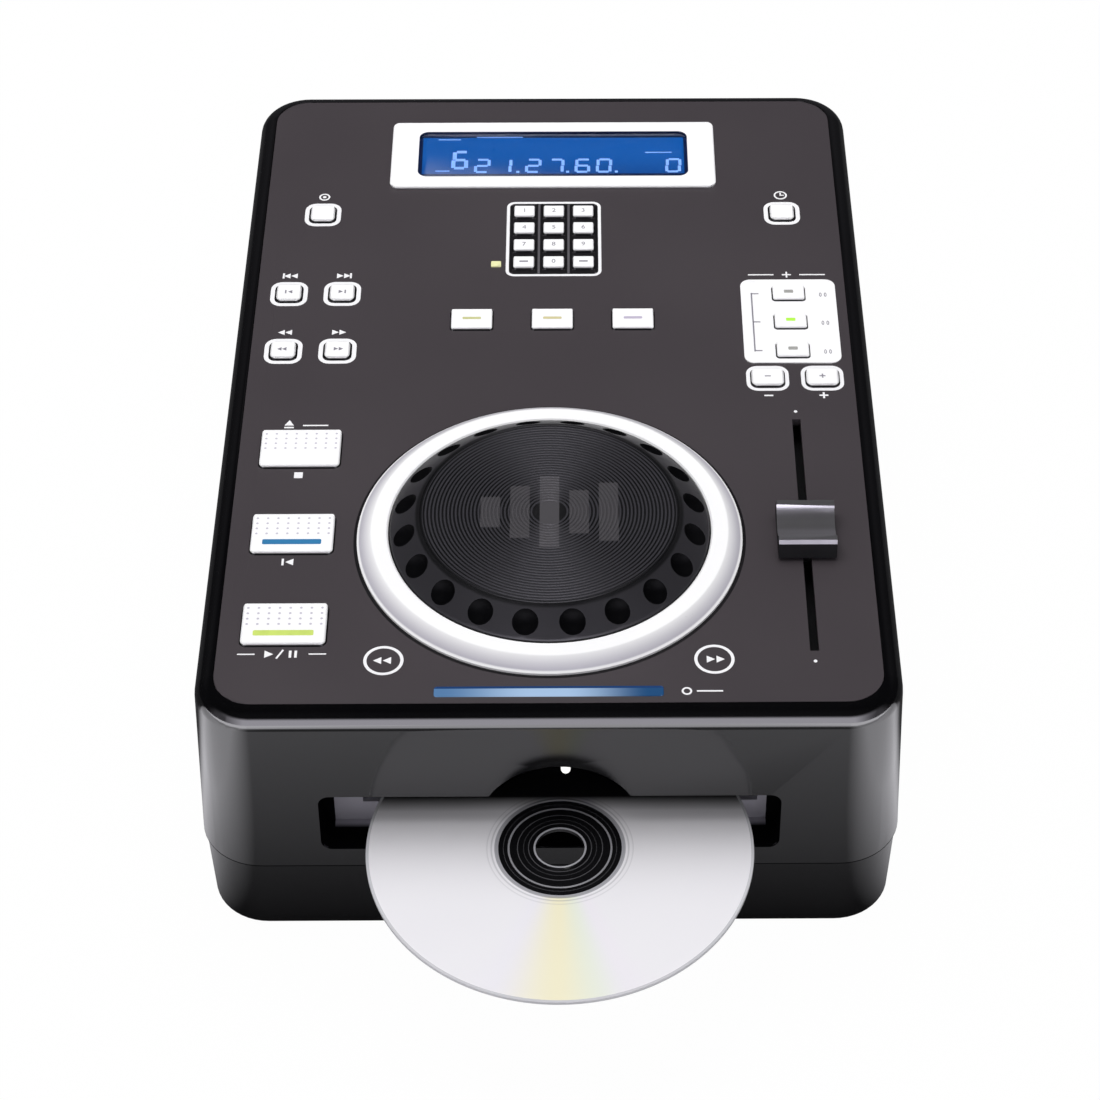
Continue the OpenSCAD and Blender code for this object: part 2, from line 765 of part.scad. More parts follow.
module display_module() {
    frame_w = window_w + 2 * lens_lip;
    frame_l = window_l + 2 * lens_lip;
    frame_h = 4;
    glass_z = board_z + frame_h - eps;
    glass_h = body_h - lens_t - 0.2 - glass_z;
    overlap = 0.5;
    color("#1d4fa8") {
        translate([display_x, display_y, board_z]) plate(frame_w, frame_l, frame_h, 1);
        translate([display_x, display_y, glass_z])
            plate(window_w + 2 * overlap, window_l + 2 * overlap, glass_h, window_r);
    }
}

module pitch_plate() {
    color("#ececee") difference() {
        translate([plate_x, plate_y, body_h]) plate(plate_w, plate_l, plate_rise, plate_r);
        button_holes(RANGE, body_h - 1, plate_rise + 2);
    }
}

module light_bar() {
    rib_t = 2;
    rib_y = panel_front + ledge_w + 0.5 + rib_t / 2;
    color("#2d63ad") {
        translate([0, bar_y, panel_under]) plate(bar_w, bar_l, panel_t + bar_rise, 0.9);
        translate([0, rib_y, board_z]) plate(bar_w - 6, rib_t, panel_under - board_z + eps, 0.4);
    }
}

module indicator_leds() {
    color("#c9d84a") translate([key_led_x, key_led_y, board_z])
        plate(key_led_w, key_led_l, body_h - board_z + 0.3, 0.4);
    color("#f4f4ec") translate([led_x, back(led_in), led_tip_z + led_r]) {
        cylinder(r = led_r, h = block_z1 - led_tip_z - led_r);
        sphere(led_r);
    }
}

module control_board() {
    board_w = panel_w - 2 * ledge_w - 5;
    board_l = panel_l - 10;
    around_post = post_r + 1;
    color("#1d5a36") {
        difference() {
            translate([0, core_y, board_z - board_t]) plate(board_w, board_l, board_t, panel_r);
            translate([0, jog_y, board_z - board_t - 1]) cylinder(r = ring_skirt + 2.5, h = board_t + 2);
            translate([fader_x - fader_case_w / 2 - 1, fader_y - fader_case_l / 2 - 1, board_z - board_t - 1])
                cube([fader_case_w + 2, fader_case_l + 2, board_t + 2]);
            for (p = POSTS) translate([p.x, p.y, board_z - board_t - 1])
                cylinder(r = around_post, h = board_t + 2);
        }
        for (b = BUTTONS) translate([b[1], b[2], board_z - eps]) {
            translate([-switch_w / 2, -switch_w / 2, 0]) cube([switch_w, switch_w, switch_h]);
            cylinder(r = plunger_r, h = switch_h + plunger_h);
        }
    }
}

// ---------- buttons ----------

module transport_button(i) {
    color("#f2f2f4") push_button(BIG[i]);
}

module mode_button(i) {
    color("#f2f2f4") push_button(MODE[i]);
}

module pitch_range_button(i) {
    color("#f2f2f4") push_button(RANGE[i]);
}

module keypad_key(i) {
    color("#f2f2f4") push_button(KEYS[i]);
}

module square_button(i) {
    color("#f2f2f4") push_button(SQUARES[i]);
}

module bend_button(i) {
    color("#f2f2f4") push_button(BENDS[i]);
}

// ---------- jog wheel ----------

module jog_ring() {
    ring_edge = 0.8;
    color("#d9dadd") translate([0, jog_y, 0]) difference() {
        rotate_extrude($fn = 128) {
            polygon([
                [ring_inner, jog_floor_z], [ring_skirt, jog_floor_z],
                [ring_skirt, body_h], [ring_r, body_h],
                [ring_r, up(ring_edge)], [ring_flat, up(ring_rise)], [ring_inner, up(ring_rise)]
            ]);
            translate([spindle_r + spin_gap, jog_floor_z]) square([ring_inner - spindle_r, jog_floor_t]);
            translate([spindle_r + spin_gap, spindle_z]) square([5, hub_z - 0.3 - spindle_z]);
        }
    }
}

module jog_spindle() {
    color("#b9bbbe") translate([0, jog_y, 0]) {
        translate([0, 0, spindle_z - 1.5]) cylinder(r = spindle_r + 3, h = 1.5);
        translate([0, 0, spindle_z - eps]) cylinder(r = spindle_r, h = spindle_top - spindle_z);
    }
}

module jog_platter() {
    slope_l = norm([jog_r - jog_flat_r, jog_rise - ring_rise]);
    out_r = (jog_rise - ring_rise) / slope_l;
    out_z = (jog_r - jog_flat_r) / slope_l;
    ball_out = dimple_ball - dimple_depth;
    color("#141416") translate([0, jog_y, 0]) difference() {
        rotate_extrude($fn = 128) polygon([
            [0, up(jog_rise)], [jog_flat_r, up(jog_rise)], [jog_r, jog_lip_z], [jog_r, jog_skirt],
            [jog_r - jog_wall, jog_skirt], [jog_r - jog_wall, up(1.5)], [jog_flat_r - 4, up(jog_rise - 4.5)],
            [hub_r, up(jog_rise - 4.5)], [hub_r, hub_z], [spindle_r + spin_gap, hub_z],
            [spindle_r + spin_gap, spindle_top + 0.3], [0, spindle_top + 0.3]
        ]);
        for (i = [0:dimple_count - 1]) rotate([0, 0, (i + 0.5) * 360 / dimple_count - 90])
            translate([
                (jog_r + jog_flat_r) / 2 + out_r * ball_out, 0,
                up((jog_rise + ring_rise) / 2) + out_z * ball_out
            ]) sphere(dimple_ball);
    }
}

module jog_encoder() {
    color("#3a3a3e") translate([0, jog_y, hub_z + 1]) difference() {
        cylinder(r = encoder_r, h = encoder_t);
        translate([0, 0, -1]) cylinder(r = hub_r + spin_gap, h = encoder_t + 2);
        for (i = [0:encoder_slots - 1]) rotate([0, 0, i * 360 / encoder_slots])
            translate([encoder_r - 6, -1, -1]) cube([4, 2, encoder_t + 2]);
    }
}

// ---------- pitch fader ----------

module fader_body() {
    cavity_z = panel_under - fader_case_h + fader_case_t;
    cavity_w = fader_case_w - 2 * fader_case_t;
    cavity_l = fader_case_l - 2 * fader_case_t;
    cavity_h = fader_case_h - 2 * fader_case_t;
    color("#8d9094") difference() {
        translate([fader_x - fader_case_w / 2, fader_y - fader_case_l / 2, panel_under - fader_case_h])
            cube([fader_case_w, fader_case_l, fader_case_h]);
        translate([fader_x - cavity_w / 2, fader_y - cavity_l / 2, cavity_z])
            cube([cavity_w, cavity_l, cavity_h]);
        translate([fader_x - fader_slot_w / 2, fader_y - fader_slot / 2, panel_under - fader_case_t - 1])
            cube([fader_slot_w, fader_slot, fader_case_t + 2]);
    }
}

module fader_knob() {
    carriage_z = panel_under - fader_case_h + fader_case_t + 0.6;
    carriage_h = 3;
    color("#8b8c92") translate([fader_x, fader_y + fader_rest, 0]) {
        translate([-fader_knob_w / 2, 0, up(fader_lift)]) rotate([90, 0, 90]) linear_extrude(fader_knob_w)
            knob_side(fader_knob_h - fader_lift);
        translate([-stem_w / 2, -stem_l / 2, carriage_z])
            cube([stem_w, stem_l, up(fader_lift) - carriage_z + 1]);
        translate([-4, -stem_l / 2 - 1, carriage_z]) cube([8, stem_l + 2, carriage_h]);
    }
}

// The knob seen from its side: two ridges with a hollow between them for the finger
module knob_side(h) {
    half = fader_knob_l / 2;
    difference() {
        polygon([
            [-half, 0], [half, 0], [half - 0.8, h - 1], [half - 1.8, h], [1.8 - half, h], [0.8 - half, h - 1]
        ]);
        translate([0, h + knob_valley_r - knob_valley]) circle(knob_valley_r);
    }
}

// ---------- disc and drive ----------

module disc() {
    color("#d6d7de") translate([disc_x, back(-disc_eject), disc_z - disc_t]) difference() {
        cylinder(r = disc_r, h = disc_t, $fn = 128);
        translate([0, 0, -1]) cylinder(r = disc_hole_r, h = disc_t + 2);
    }
}

module slot_felts() {
    felt_low = disc_z - disc_t - felt_gap;
    felt_high = disc_z + felt_gap;
    color("#101012") {
        translate([disc_x - throat_w / 2, back(felt_in), throat_z])
            cube([throat_w, felt_l, felt_low - throat_z]);
        translate([disc_x - throat_w / 2, back(felt_in), felt_high])
            cube([throat_w, felt_l, throat_z + throat_h - felt_high]);
    }
}

module drive_chassis() {
    inner_w = drive_w - 2 * sheet_t;
    hole_w = traverse_w - 2 * window_border;
    hole_l = traverse_l - 2 * window_border;
    traverse_mid = traverse_in + traverse_l / 2;
    color("#b7babd") translate([disc_x, back(0), 0]) difference() {
        union() {
            translate([-drive_w / 2, drive_front, drive_z]) cube([drive_w, drive_l, sheet_t]);
            for (s = [-1, 1]) translate([s * (drive_w / 2 - sheet_t / 2) - sheet_t / 2, drive_front, drive_z])
                cube([sheet_t, drive_l, drive_top - drive_z]);
            translate([-drive_w / 2, drive_front + drive_l - sheet_t, drive_z])
                cube([drive_w, sheet_t, drive_top - drive_z]);
            translate([-drive_w / 2, drive_front, drive_top - sheet_t]) cube([drive_w, drive_l, sheet_t]);
            for (sx = [-1, 1], sy = [-1, 1])
                translate([
                    sx * (traverse_w - window_border) / 2,
                    traverse_mid + sy * (traverse_l - window_border) / 2, drive_z
                ]) cylinder(r = window_border / 2, h = traverse_z - drive_z);
        }
        translate([-hole_w / 2 + 1, traverse_mid - hole_l / 2 + 1, drive_z - 1])
            cube([hole_w - 2, hole_l - 2, sheet_t + 2]);
        translate([0, loaded_in, drive_top - sheet_t - 1]) cylinder(r = turntable_r + 3, h = sheet_t + 2);
        translate([-drive_w / 2 - 1, roller_in, roller_z]) rotate([0, 90, 0])
            cylinder(r = roller_shaft + run_gap, h = drive_w + 2);
    }
}

module loading_roller() {
    waist = 1.2;
    roller_l = throat_w - 6;
    color("#3b3b3d") translate([disc_x, back(roller_in), roller_z]) rotate([0, 90, 0]) {
        translate([0, 0, -drive_w / 2]) cylinder(r = roller_shaft, h = drive_w);
        translate([0, 0, -roller_l / 2]) cylinder(r1 = roller_r, r2 = roller_r - waist, h = roller_l / 2 - 4);
        translate([0, 0, 4]) cylinder(r1 = roller_r - waist, r2 = roller_r, h = roller_l / 2 - 4);
    }
}

module traverse_frame() {
    rail_0 = loaded_in + motor_r + 1;
    rail_1 = traverse_in + traverse_l - 4;
    rail_land = 5;
    cut_w = 2 * (rail_x - rail_land);
    clip_w = 6;
    clip_t = 2.5;
    clip_h = rail_z - traverse_z - sheet_t + rail_r + 1;
    color("#9da1a6") translate([disc_x, back(0), 0]) {
        difference() {
            translate([-traverse_w / 2, traverse_in, traverse_z]) cube([traverse_w, traverse_l, sheet_t]);
            translate([-cut_w / 2, rail_0 + 3, traverse_z - 1])
                cube([cut_w, rail_1 - rail_0 - 6, sheet_t + 2]);
        }
        for (s = [-1, 1]) {
            translate([s * rail_x, rail_1, rail_z]) rotate([90, 0, 0])
                cylinder(r = rail_r, h = rail_1 - rail_0);
            for (y = [rail_0, rail_1 - clip_t])
                translate([s * rail_x - clip_w / 2, y, traverse_z + sheet_t - eps])
                    cube([clip_w, clip_t, clip_h]);
        }
    }
}

module spindle_motor() {
    color("#a9acb0") translate([disc_x, back(loaded_in), traverse_z + sheet_t]) difference() {
        cylinder(r = motor_r, h = motor_h);
        translate([0, 0, 1]) cylinder(r = shaft_r + run_gap, h = motor_h);
    }
}

module turntable() {
    shaft_z = traverse_z + sheet_t + 1.5;
    plate_h = 2.5;
    cone_h = 2.1;
    color("#232326") translate([disc_x, back(loaded_in), 0]) {
        translate([0, 0, shaft_z]) cylinder(r = shaft_r, h = seat_z - shaft_z);
        translate([0, 0, seat_z - plate_h]) cylinder(r = turntable_r, h = plate_h);
        translate([0, 0, seat_z - eps]) cylinder(r1 = cone_r, r2 = cone_r - 0.8, h = cone_h);
    }
}

module laser_sled() {
    sled_z = rail_z - 3;
    lens_r = 3.5;
    pad_w = 18;
    pad_l = 16;
    color("#303338") translate([disc_x, back(loaded_in + sled_home), 0]) difference() {
        union() {
            translate([-sled_w / 2, -sled_l / 2, sled_z]) cube([sled_w, sled_l, sled_h - 2]);
            translate([-pad_w / 2, -pad_l / 2 - lens_back / 2, sled_z]) cube([pad_w, pad_l, sled_h - 1]);
            translate([0, -lens_back, sled_z + sled_h - 1 - eps]) cylinder(r = lens_r, h = 1);
        }
        for (s = [-1, 1]) translate([s * rail_x, sled_l / 2 + 1, rail_z]) rotate([90, 0, 0])
            cylinder(r = rail_r + run_gap, h = sled_l + 2);
    }
}

// ---------- boards ----------

module main_board() {
    chip_z = main_z + board_t - eps;
    chip_r = 0.5;
    // Chips and the drive's socket as [x, y, width, depth, height]
    chips = [
        [-20, 10, 20, 20, 2], [14, 14, 14, 22, 2], [16, -24, 24, 10, 3],
        [18 - main_w / 2, main_l / 2 - 12, 30, 6, 7]
    ];
    capacitor_r = 3.2;
    capacitor_h = 9;
    capacitor_pitch = 9;
    color("#1f6b3c") translate([main_x, main_y, 0]) {
        translate([0, 0, main_z]) plate(main_w, main_l, board_t, board_corner);
        for (c = chips) translate([c[0], c[1], chip_z]) plate(c[2], c[3], c[4], chip_r);
        for (i = [0:4]) translate([12 - main_w / 2 + i * capacitor_pitch, 16 - main_l / 2, chip_z])
            cylinder(r = capacitor_r, h = capacitor_h);
    }
}

module power_supply() {
    chip_z = main_z + board_t - eps;
    iron_w = 46;
    iron_l = 38;
    iron_h = 36;
    capacitor_r = 8;
    capacitor_h = 24;
    capacitor_x = 12;
    capacitor_y = 18;
    sink_w = 40;
    sink_t = 3;
    sink_h = 18;
    color("#8a7a4e") translate([supply_x, main_y, 0]) {
        translate([0, 0, main_z]) plate(supply_w, supply_l, board_t, board_corner);
        translate([0, iron_l / 2 + 15 - supply_l / 2, chip_z]) plate(iron_w, iron_l, iron_h, 1);
        for (s = [-1, 1]) translate([s * capacitor_x, capacitor_y, chip_z])
            cylinder(r = capacitor_r, h = capacitor_h);
        translate([0, supply_l / 2 - 16, chip_z]) plate(sink_w, sink_t, sink_h, 0.5);
    }
}

// ---------- rear ----------

module phono_sockets() {
    strip_w = 3 * phono_pitch + 4;
    strip_h = 15;
    barrel_y = rear_face + flange_out + phono_len;
    color("#26262a") difference() {
        union() {
            translate([phono_x, rear_face + flange_out, socket_z]) rotate([90, 0, 0])
                plate(strip_w, strip_h, flange_out, 1.5);
            for (i = [-1:1]) translate([phono_x + i * phono_pitch, rear_face, socket_z]) rotate([90, 0, 0]) {
                translate([0, 0, -flange_out - phono_len])
                    cylinder(r = phono_r, h = phono_len + flange_out + 12);
                translate([0, 0, rear_wall]) cylinder(r = phono_r + 2, h = 9);
            }
        }
        for (i = [-1:1]) translate([phono_x + i * phono_pitch, barrel_y + 1, socket_z])
            rotate([90, 0, 0]) cylinder(r = phono_hole_r, h = phono_hole_deep + 1);
    }
}

module power_inlet() {
    color("#17171a") difference() {
        union() {
            translate([inlet_x, rear_face + inlet_out, socket_z]) rotate([90, 0, 0])
                plate(inlet_w, inlet_h, inlet_out, 2.5);
            translate([inlet_x - inlet_body_w / 2, rear_face - inlet_deep, socket_z - inlet_body_h / 2])
                cube([inlet_body_w, inlet_deep + eps, inlet_body_h]);
        }
        translate([c_x - c_recess_w / 2, rear_face + inlet_out - c_recess_deep, socket_z - c_recess_h / 2])
            cube([c_recess_w, c_recess_deep + 1, c_recess_h]);
        translate([
            rocker_x - rocker_w / 2 - rocker_gap, rear_face + inlet_out - rocker_well,
            socket_z - rocker_h / 2 - rocker_gap
        ]) cube([rocker_w + 2 * rocker_gap, rocker_well + 1, rocker_h + 2 * rocker_gap]);
        translate([rocker_x - rocker_w / 2 - 2, rear_face + inlet_out - rocker_in, socket_z])
            rotate([0, 90, 0]) cylinder(r = rocker_r + run_gap, h = rocker_w + 4);
    }
    color("#c9cacc") for (i = [-1:1])
        translate([
            c_x + i * pin_pitch - pin_t / 2, rear_face + inlet_out - c_recess_deep - 2,
            socket_z - pin_h / 2 + (i == 0 ? pin_drop : -pin_drop)
        ]) cube([pin_t, pin_len + 2, pin_h]);
}

module power_rocker() {
    rocker_out = 3.2;
    rocker_deep = 6;
    fold = 3;
    face = rocker_out + rocker_in - fold;
    ridge = 0.6;
    color("#1d1d20") translate([rocker_x, rear_face + inlet_out - rocker_in, socket_z])
        rotate([rocker_swing / 2, 0, 0]) {
            translate([-rocker_w / 2, 0, 0]) rotate([90, 0, 90]) linear_extrude(rocker_w) polygon([
                [-rocker_deep, -3], [face - 2 + ridge, 1 - rocker_h / 2], [face + ridge, 1.2 - rocker_h / 2],
                [face - ridge, 0], [face + ridge, rocker_h / 2 - 1.2], [face - 2 + ridge, rocker_h / 2 - 1],
                [-rocker_deep, 3]
            ]);
            translate([-rocker_w / 2 - 1.5, 0, 0]) rotate([0, 90, 0]) cylinder(r = rocker_r, h = rocker_w + 3);
        }
}

// ---------- one line per piece ----------

upper_housing();
lower_housing();
feet();
housing_screws();
face_panel();
display_bezel();
display_lens();
display_module();
jog_ring();
jog_spindle();
jog_platter();
jog_encoder();
pitch_plate();
fader_body();
fader_knob();
light_bar();
indicator_leds();
control_board();
slot_felts();
disc();
drive_chassis();
loading_roller();
traverse_frame();
spindle_motor();
turntable();
laser_sled();
main_board();
power_supply();
phono_sockets();
power_inlet();
power_rocker();
for (i = [0:2]) transport_button(i);
for (i = [0:2]) mode_button(i);
for (i = [0:2]) pitch_range_button(i);
for (i = [0:11]) keypad_key(i);
for (i = [0:5]) square_button(i);
for (i = [0:1]) bend_button(i);
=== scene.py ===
"""The looks of a tabletop DJ CD player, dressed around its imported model."""
import json
from math import cos, pi, radians, sin

import bpy
from mathutils import Matrix, Vector

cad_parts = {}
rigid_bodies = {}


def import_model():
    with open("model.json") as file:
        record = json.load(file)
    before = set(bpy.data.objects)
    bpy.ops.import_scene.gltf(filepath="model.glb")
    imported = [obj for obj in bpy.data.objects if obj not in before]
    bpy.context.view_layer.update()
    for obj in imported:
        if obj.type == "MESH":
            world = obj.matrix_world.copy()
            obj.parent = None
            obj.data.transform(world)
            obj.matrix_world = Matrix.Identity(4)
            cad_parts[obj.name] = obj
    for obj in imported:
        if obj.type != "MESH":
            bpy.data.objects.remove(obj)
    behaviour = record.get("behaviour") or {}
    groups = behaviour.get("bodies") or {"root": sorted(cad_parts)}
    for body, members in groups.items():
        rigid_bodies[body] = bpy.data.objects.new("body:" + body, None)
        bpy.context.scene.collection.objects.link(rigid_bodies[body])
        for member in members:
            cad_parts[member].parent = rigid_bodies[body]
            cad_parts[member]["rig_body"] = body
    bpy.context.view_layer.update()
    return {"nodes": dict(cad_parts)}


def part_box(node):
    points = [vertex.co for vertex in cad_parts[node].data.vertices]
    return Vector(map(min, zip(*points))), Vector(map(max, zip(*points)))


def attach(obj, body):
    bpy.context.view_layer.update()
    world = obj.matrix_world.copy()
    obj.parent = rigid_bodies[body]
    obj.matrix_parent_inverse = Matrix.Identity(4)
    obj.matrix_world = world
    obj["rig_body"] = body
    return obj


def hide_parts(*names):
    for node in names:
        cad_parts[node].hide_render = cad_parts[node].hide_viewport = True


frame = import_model()

# ---------- Studio ----------
# A pale table in a white room, lit softly from above. The room is bright behind the photographer and dark over and
# behind the player. What its gloss mirrors of the table grows brighter away from its front: painted shade close to
# the player, and painted light further ahead and beside it, glowing only in mirrored rays.
scene = bpy.context.scene
mm = 0.001


def fill(node, inputs):
    """Fills a node's inputs with values or with other nodes' outputs."""
    for name, value in inputs.items():
        if isinstance(value, bpy.types.NodeSocket):
            node.id_data.links.new(value, node.inputs[name])
        else:
            node.inputs[name].default_value = value
    return node


def add_node(tree, kind, inputs=None, **settings):
    """Adds a node, sets its properties and fills its inputs."""
    node = tree.nodes.new(kind)
    for name, value in settings.items():
        setattr(node, name, value)
    return fill(node, inputs or {})


def maths(tree, operation, *values):
    """One Math node: what it works out from two or three numbers or sockets."""
    return add_node(tree, "ShaderNodeMath", dict(enumerate(values)), operation=operation).outputs[0]


def product(tree, first, *others):
    """All the values multiplied together."""
    for other in others:
        first = maths(tree, "MULTIPLY", first, other)
    return first


def ramp(tree, value, low, high, start=0.0, end=1.0, smooth=False):
    """Goes from start to end while value goes from low to high."""
    return add_node(tree, "ShaderNodeMapRange", {"Value": value, 1: low, 2: high, 3: start, 4: end},
                    interpolation_type="SMOOTHSTEP" if smooth else "LINEAR").outputs[0]


def coordinates(tree, kind="Object"):
    """The X, Y and Z of a point on a piece, or of a direction in the room."""
    return add_node(tree, "ShaderNodeSeparateXYZ", {0: add_node(tree, "ShaderNodeTexCoord").outputs[kind]}).outputs


def glow(tree, kind, colour, strength):
    """A background or an emission."""
    return add_node(tree, "ShaderNode" + kind, {"Color": (*colour, 1), "Strength": strength}).outputs[0]


def mix_shaders(tree, share, first, second):
    """Two shaders, of which the second has the given share."""
    return add_node(tree, "ShaderNodeMixShader", {0: share, 1: first, 2: second}).outputs[0]


camera = bpy.data.objects.new("camera", bpy.data.cameras.new("camera"))
scene.collection.objects.link(camera)
scene.camera = camera
camera.data.sensor_width = 36
camera.data.lens = 100.7
camera.data.shift_x = -0.04545
look_down = radians(43.92)
look_right = radians(0.472)
lean_over = radians(0.092)
camera.matrix_world = (
    Matrix.Translation(Vector((10.2, -761.5, 777.4)) * mm)
    @ Matrix.Rotation(-look_right, 4, "Z")
    @ Matrix.Rotation(pi / 2 - look_down, 4, "X")
    @ Matrix.Rotation(lean_over, 4, "Z")
)

scene.view_settings.view_transform = "Standard"
room = bpy.data.worlds.new("white_room")
scene.world = room
room.use_nodes = True
tree = room.node_tree
tree.nodes.clear()
path = add_node(tree, "ShaderNodeLightPath").outputs
toward = coordinates(tree, "Generated")
below_ceiling = ramp(tree, toward["Z"], 0.46, 0.70, 5.4, 0.03, smooth=True)
in_front = ramp(tree, toward["Y"], -0.45, -0.05, 1.0, 0.02, smooth=True)
ahead = ramp(tree, maths(tree, "ABSOLUTE", toward["X"]), 0.25, 0.75, 1.0, 0.12)
mirrored = glow(tree, "Background", (0.93, 0.90, 1), product(tree, below_ceiling, in_front, ahead))
ambient = glow(tree, "Background", (0.99, 0.98, 1), 0.49)
white = glow(tree, "Background", (1, 1, 1), 1.0)
sees_room = maths(tree, "MAXIMUM", path["Is Glossy Ray"], path["Is Transmission Ray"])
lit = mix_shaders(tree, sees_room, ambient, mirrored)
add_node(tree, "ShaderNodeOutputWorld", {"Surface": mix_shaders(tree, path["Is Camera Ray"], lit, white)})

lamp = bpy.data.objects.new("overhead_lamp", bpy.data.lights.new("overhead_lamp", "AREA"))
scene.collection.objects.link(lamp)
lamp.data.shape = "RECTANGLE"
lamp.data.size = 1.3
lamp.data.size_y = 1.0
lamp.data.energy = 16.5
lamp.visible_glossy = False
lamp_place = Vector((-0.15, 0.25, 1.5))
facing = (Vector((0, 0, 0.05)) - lamp_place).to_track_quat("-Z", "Y")
lamp.matrix_world = Matrix.Translation(lamp_place) @ facing.to_matrix().to_4x4()

bpy.ops.object.select_all(action="DESELECT")
bpy.ops.mesh.primitive_plane_add(size=14, location=(0, 0, 0))
floor = bpy.context.object
floor.name = "table_top"
table_white = bpy.data.materials.new("table_white")
table_white.use_nodes = True
tree = table_white.node_tree
tree.nodes.clear()
path = add_node(tree, "ShaderNodeLightPath").outputs
place = coordinates(tree)
shell_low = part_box("upper_housing")[0]
before_front = maths(tree, "SUBTRACT", shell_low.y, place["Y"])
line_y = 106 * mm
# Painted shade and light on the table, seen only in mirrored rays: dim close to the player's front, where its shadow
# would fall, and bright further ahead and beside it
table_painted_shade_near = product(tree, ramp(tree, before_front, 0.0, line_y, 0.04, 0.90),
                     ramp(tree, before_front, line_y, line_y + 9 * mm, 1.0, 0.25))
table_painted_light_ahead = ramp(tree, before_front, 165 * mm, 330 * mm, 0.0, 4.6, smooth=True)
beside = product(tree, ramp(tree, maths(tree, "ABSOLUTE", place["X"]), 105 * mm, 165 * mm, 0.0, 2.0),
                 ramp(tree, place["Y"], -90 * mm, -50 * mm, 1.0, 0.02, smooth=True))
mirrored_table = maths(tree, "ADD", beside, maths(tree, "ADD", table_painted_shade_near, table_painted_light_ahead))
paper = add_node(tree, "ShaderNodeBsdfDiffuse", {"Color": (0.86, 0.86, 0.86, 1)}).outputs[0]
shining = glow(tree, "Emission", (0.96, 0.95, 1), mirrored_table)
bright = glow(tree, "Emission", (1, 1, 1), 1.0)
seen = mix_shaders(tree, product(tree, path["Is Camera Ray"], 0.985), paper, bright)
add_node(tree, "ShaderNodeOutputMaterial", {"Surface": mix_shaders(tree, path["Is Glossy Ray"], seen, shining)})
floor.data.materials.append(table_white)

# ---------- Housing ----------
# Two glossy black mouldings that meet at a fine line low on the sides, polished in the mould, with the faint
# unevenness and the haze of dust and fingers that gloss plastic has.
merge_gap = 0.002 * mm


def build_surface_group():
    """A group for the fine grain and the broad unevenness of a surface."""
    group = bpy.data.node_groups.new("surface_grain", "ShaderNodeTree")
    for name, value in (("Grain", 900.0), ("Patch", 25.0), ("Bump", 0.1), ("Low", 0.3), ("High", 0.5)):
        socket = group.interface.new_socket(name, in_out="INPUT", socket_type="NodeSocketFloat")
        socket.default_value = value
    group.interface.new_socket("Mask", in_out="OUTPUT", socket_type="NodeSocketFloat")
    group.interface.new_socket("Roughness", in_out="OUTPUT", socket_type="NodeSocketFloat")
    group.interface.new_socket("Normal", in_out="OUTPUT", socket_type="NodeSocketVector")
    given = add_node(group, "NodeGroupInput").outputs
    place = add_node(group, "ShaderNodeTexCoord").outputs["Object"]
    grain = add_node(group, "ShaderNodeTexNoise", {"Vector": place, "Scale": given["Grain"], "Detail": 3.0})
    patch = add_node(group, "ShaderNodeTexNoise", {"Vector": place, "Scale": given["Patch"], "Detail": 4.0})
    sharper = ramp(group, patch.outputs[0], 0.34, 0.66)
    blend = maths(group, "MULTIPLY_ADD", sharper, 0.65, product(group, grain.outputs[0], 0.35))
    rough = ramp(group, blend, 0.0, 1.0, given["Low"], given["High"])
    bump = add_node(group, "ShaderNodeBump", {
        "Strength": given["Bump"], "Distance": 0.1 * mm, "Height": grain.outputs[0]
    })
    add_node(group, "NodeGroupOutput", {"Mask": blend, "Roughness": rough, "Normal": bump.outputs[0]})
    return group


surface_grain = build_surface_group()


def tint(tree, share, under, colour):
    """A colour laid over what is under it, with the given share."""
    return add_node(tree, "ShaderNodeMix", {"Factor": share, 6: under, 7: (*colour, 1)}, data_type="RGBA").outputs[2]


def start_material(name, colour, shade, low, high, grain=900, patch=25, bump=0.1, metallic=0.0, ior=1.5):
    """A material whose colour drifts from colour to shade, with grain. Returns it, its shader and its colours."""
    material = bpy.data.materials.new(name)
    material.use_nodes = True
    tree = material.node_tree
    shader = tree.nodes["Principled BSDF"]
    surface = add_node(tree, "ShaderNodeGroup", {
        "Grain": grain, "Patch": patch, "Bump": bump, "Low": low, "High": high
    }, node_tree=surface_grain).outputs
    colours = tint(tree, surface["Mask"], (*colour, 1), shade)
    fill(shader, {
        "Base Color": colours, "Roughness": surface["Roughness"], "Normal": surface["Normal"], "Metallic": metallic,
        "IOR": ior
    })
    return material, shader, colours


def plain_material(*values, **options):
    """A grained material without marks of its own."""
    return start_material(*values, **options)[0]


def select_none():
    """Back to object mode, with nothing selected."""
    if bpy.context.object and bpy.context.object.mode != "OBJECT":
        bpy.ops.object.mode_set(mode="OBJECT")
    bpy.ops.object.select_all(action="DESELECT")


def only(piece):
    """Selects one object and nothing else."""
    select_none()
    piece.select_set(True)
    bpy.context.view_layer.objects.active = piece


def open_mesh(piece):
    """Takes a piece into edit mode, with all of it selected."""
    only(piece)
    bpy.ops.object.mode_set(mode="EDIT")
    bpy.ops.mesh.select_all(action="SELECT")


def shade(piece, angle=32):
    """Smooth curves, flat faces and crisp edges."""
    only(piece)
    bpy.ops.object.shade_smooth_by_angle(angle=radians(angle))
    weighted = piece.modifiers.new("even_faces", "WEIGHTED_NORMAL")
    weighted.keep_sharp = True
    weighted.weight = 100
    bpy.ops.object.modifier_apply(modifier=weighted.name)


def dress(piece, node, *materials):
    """The piece takes the node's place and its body."""
    if materials:
        piece.data.materials.clear()
        for material in materials:
            piece.data.materials.append(material)
    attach(piece, frame["nodes"][node]["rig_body"])
    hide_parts(node)
    return piece


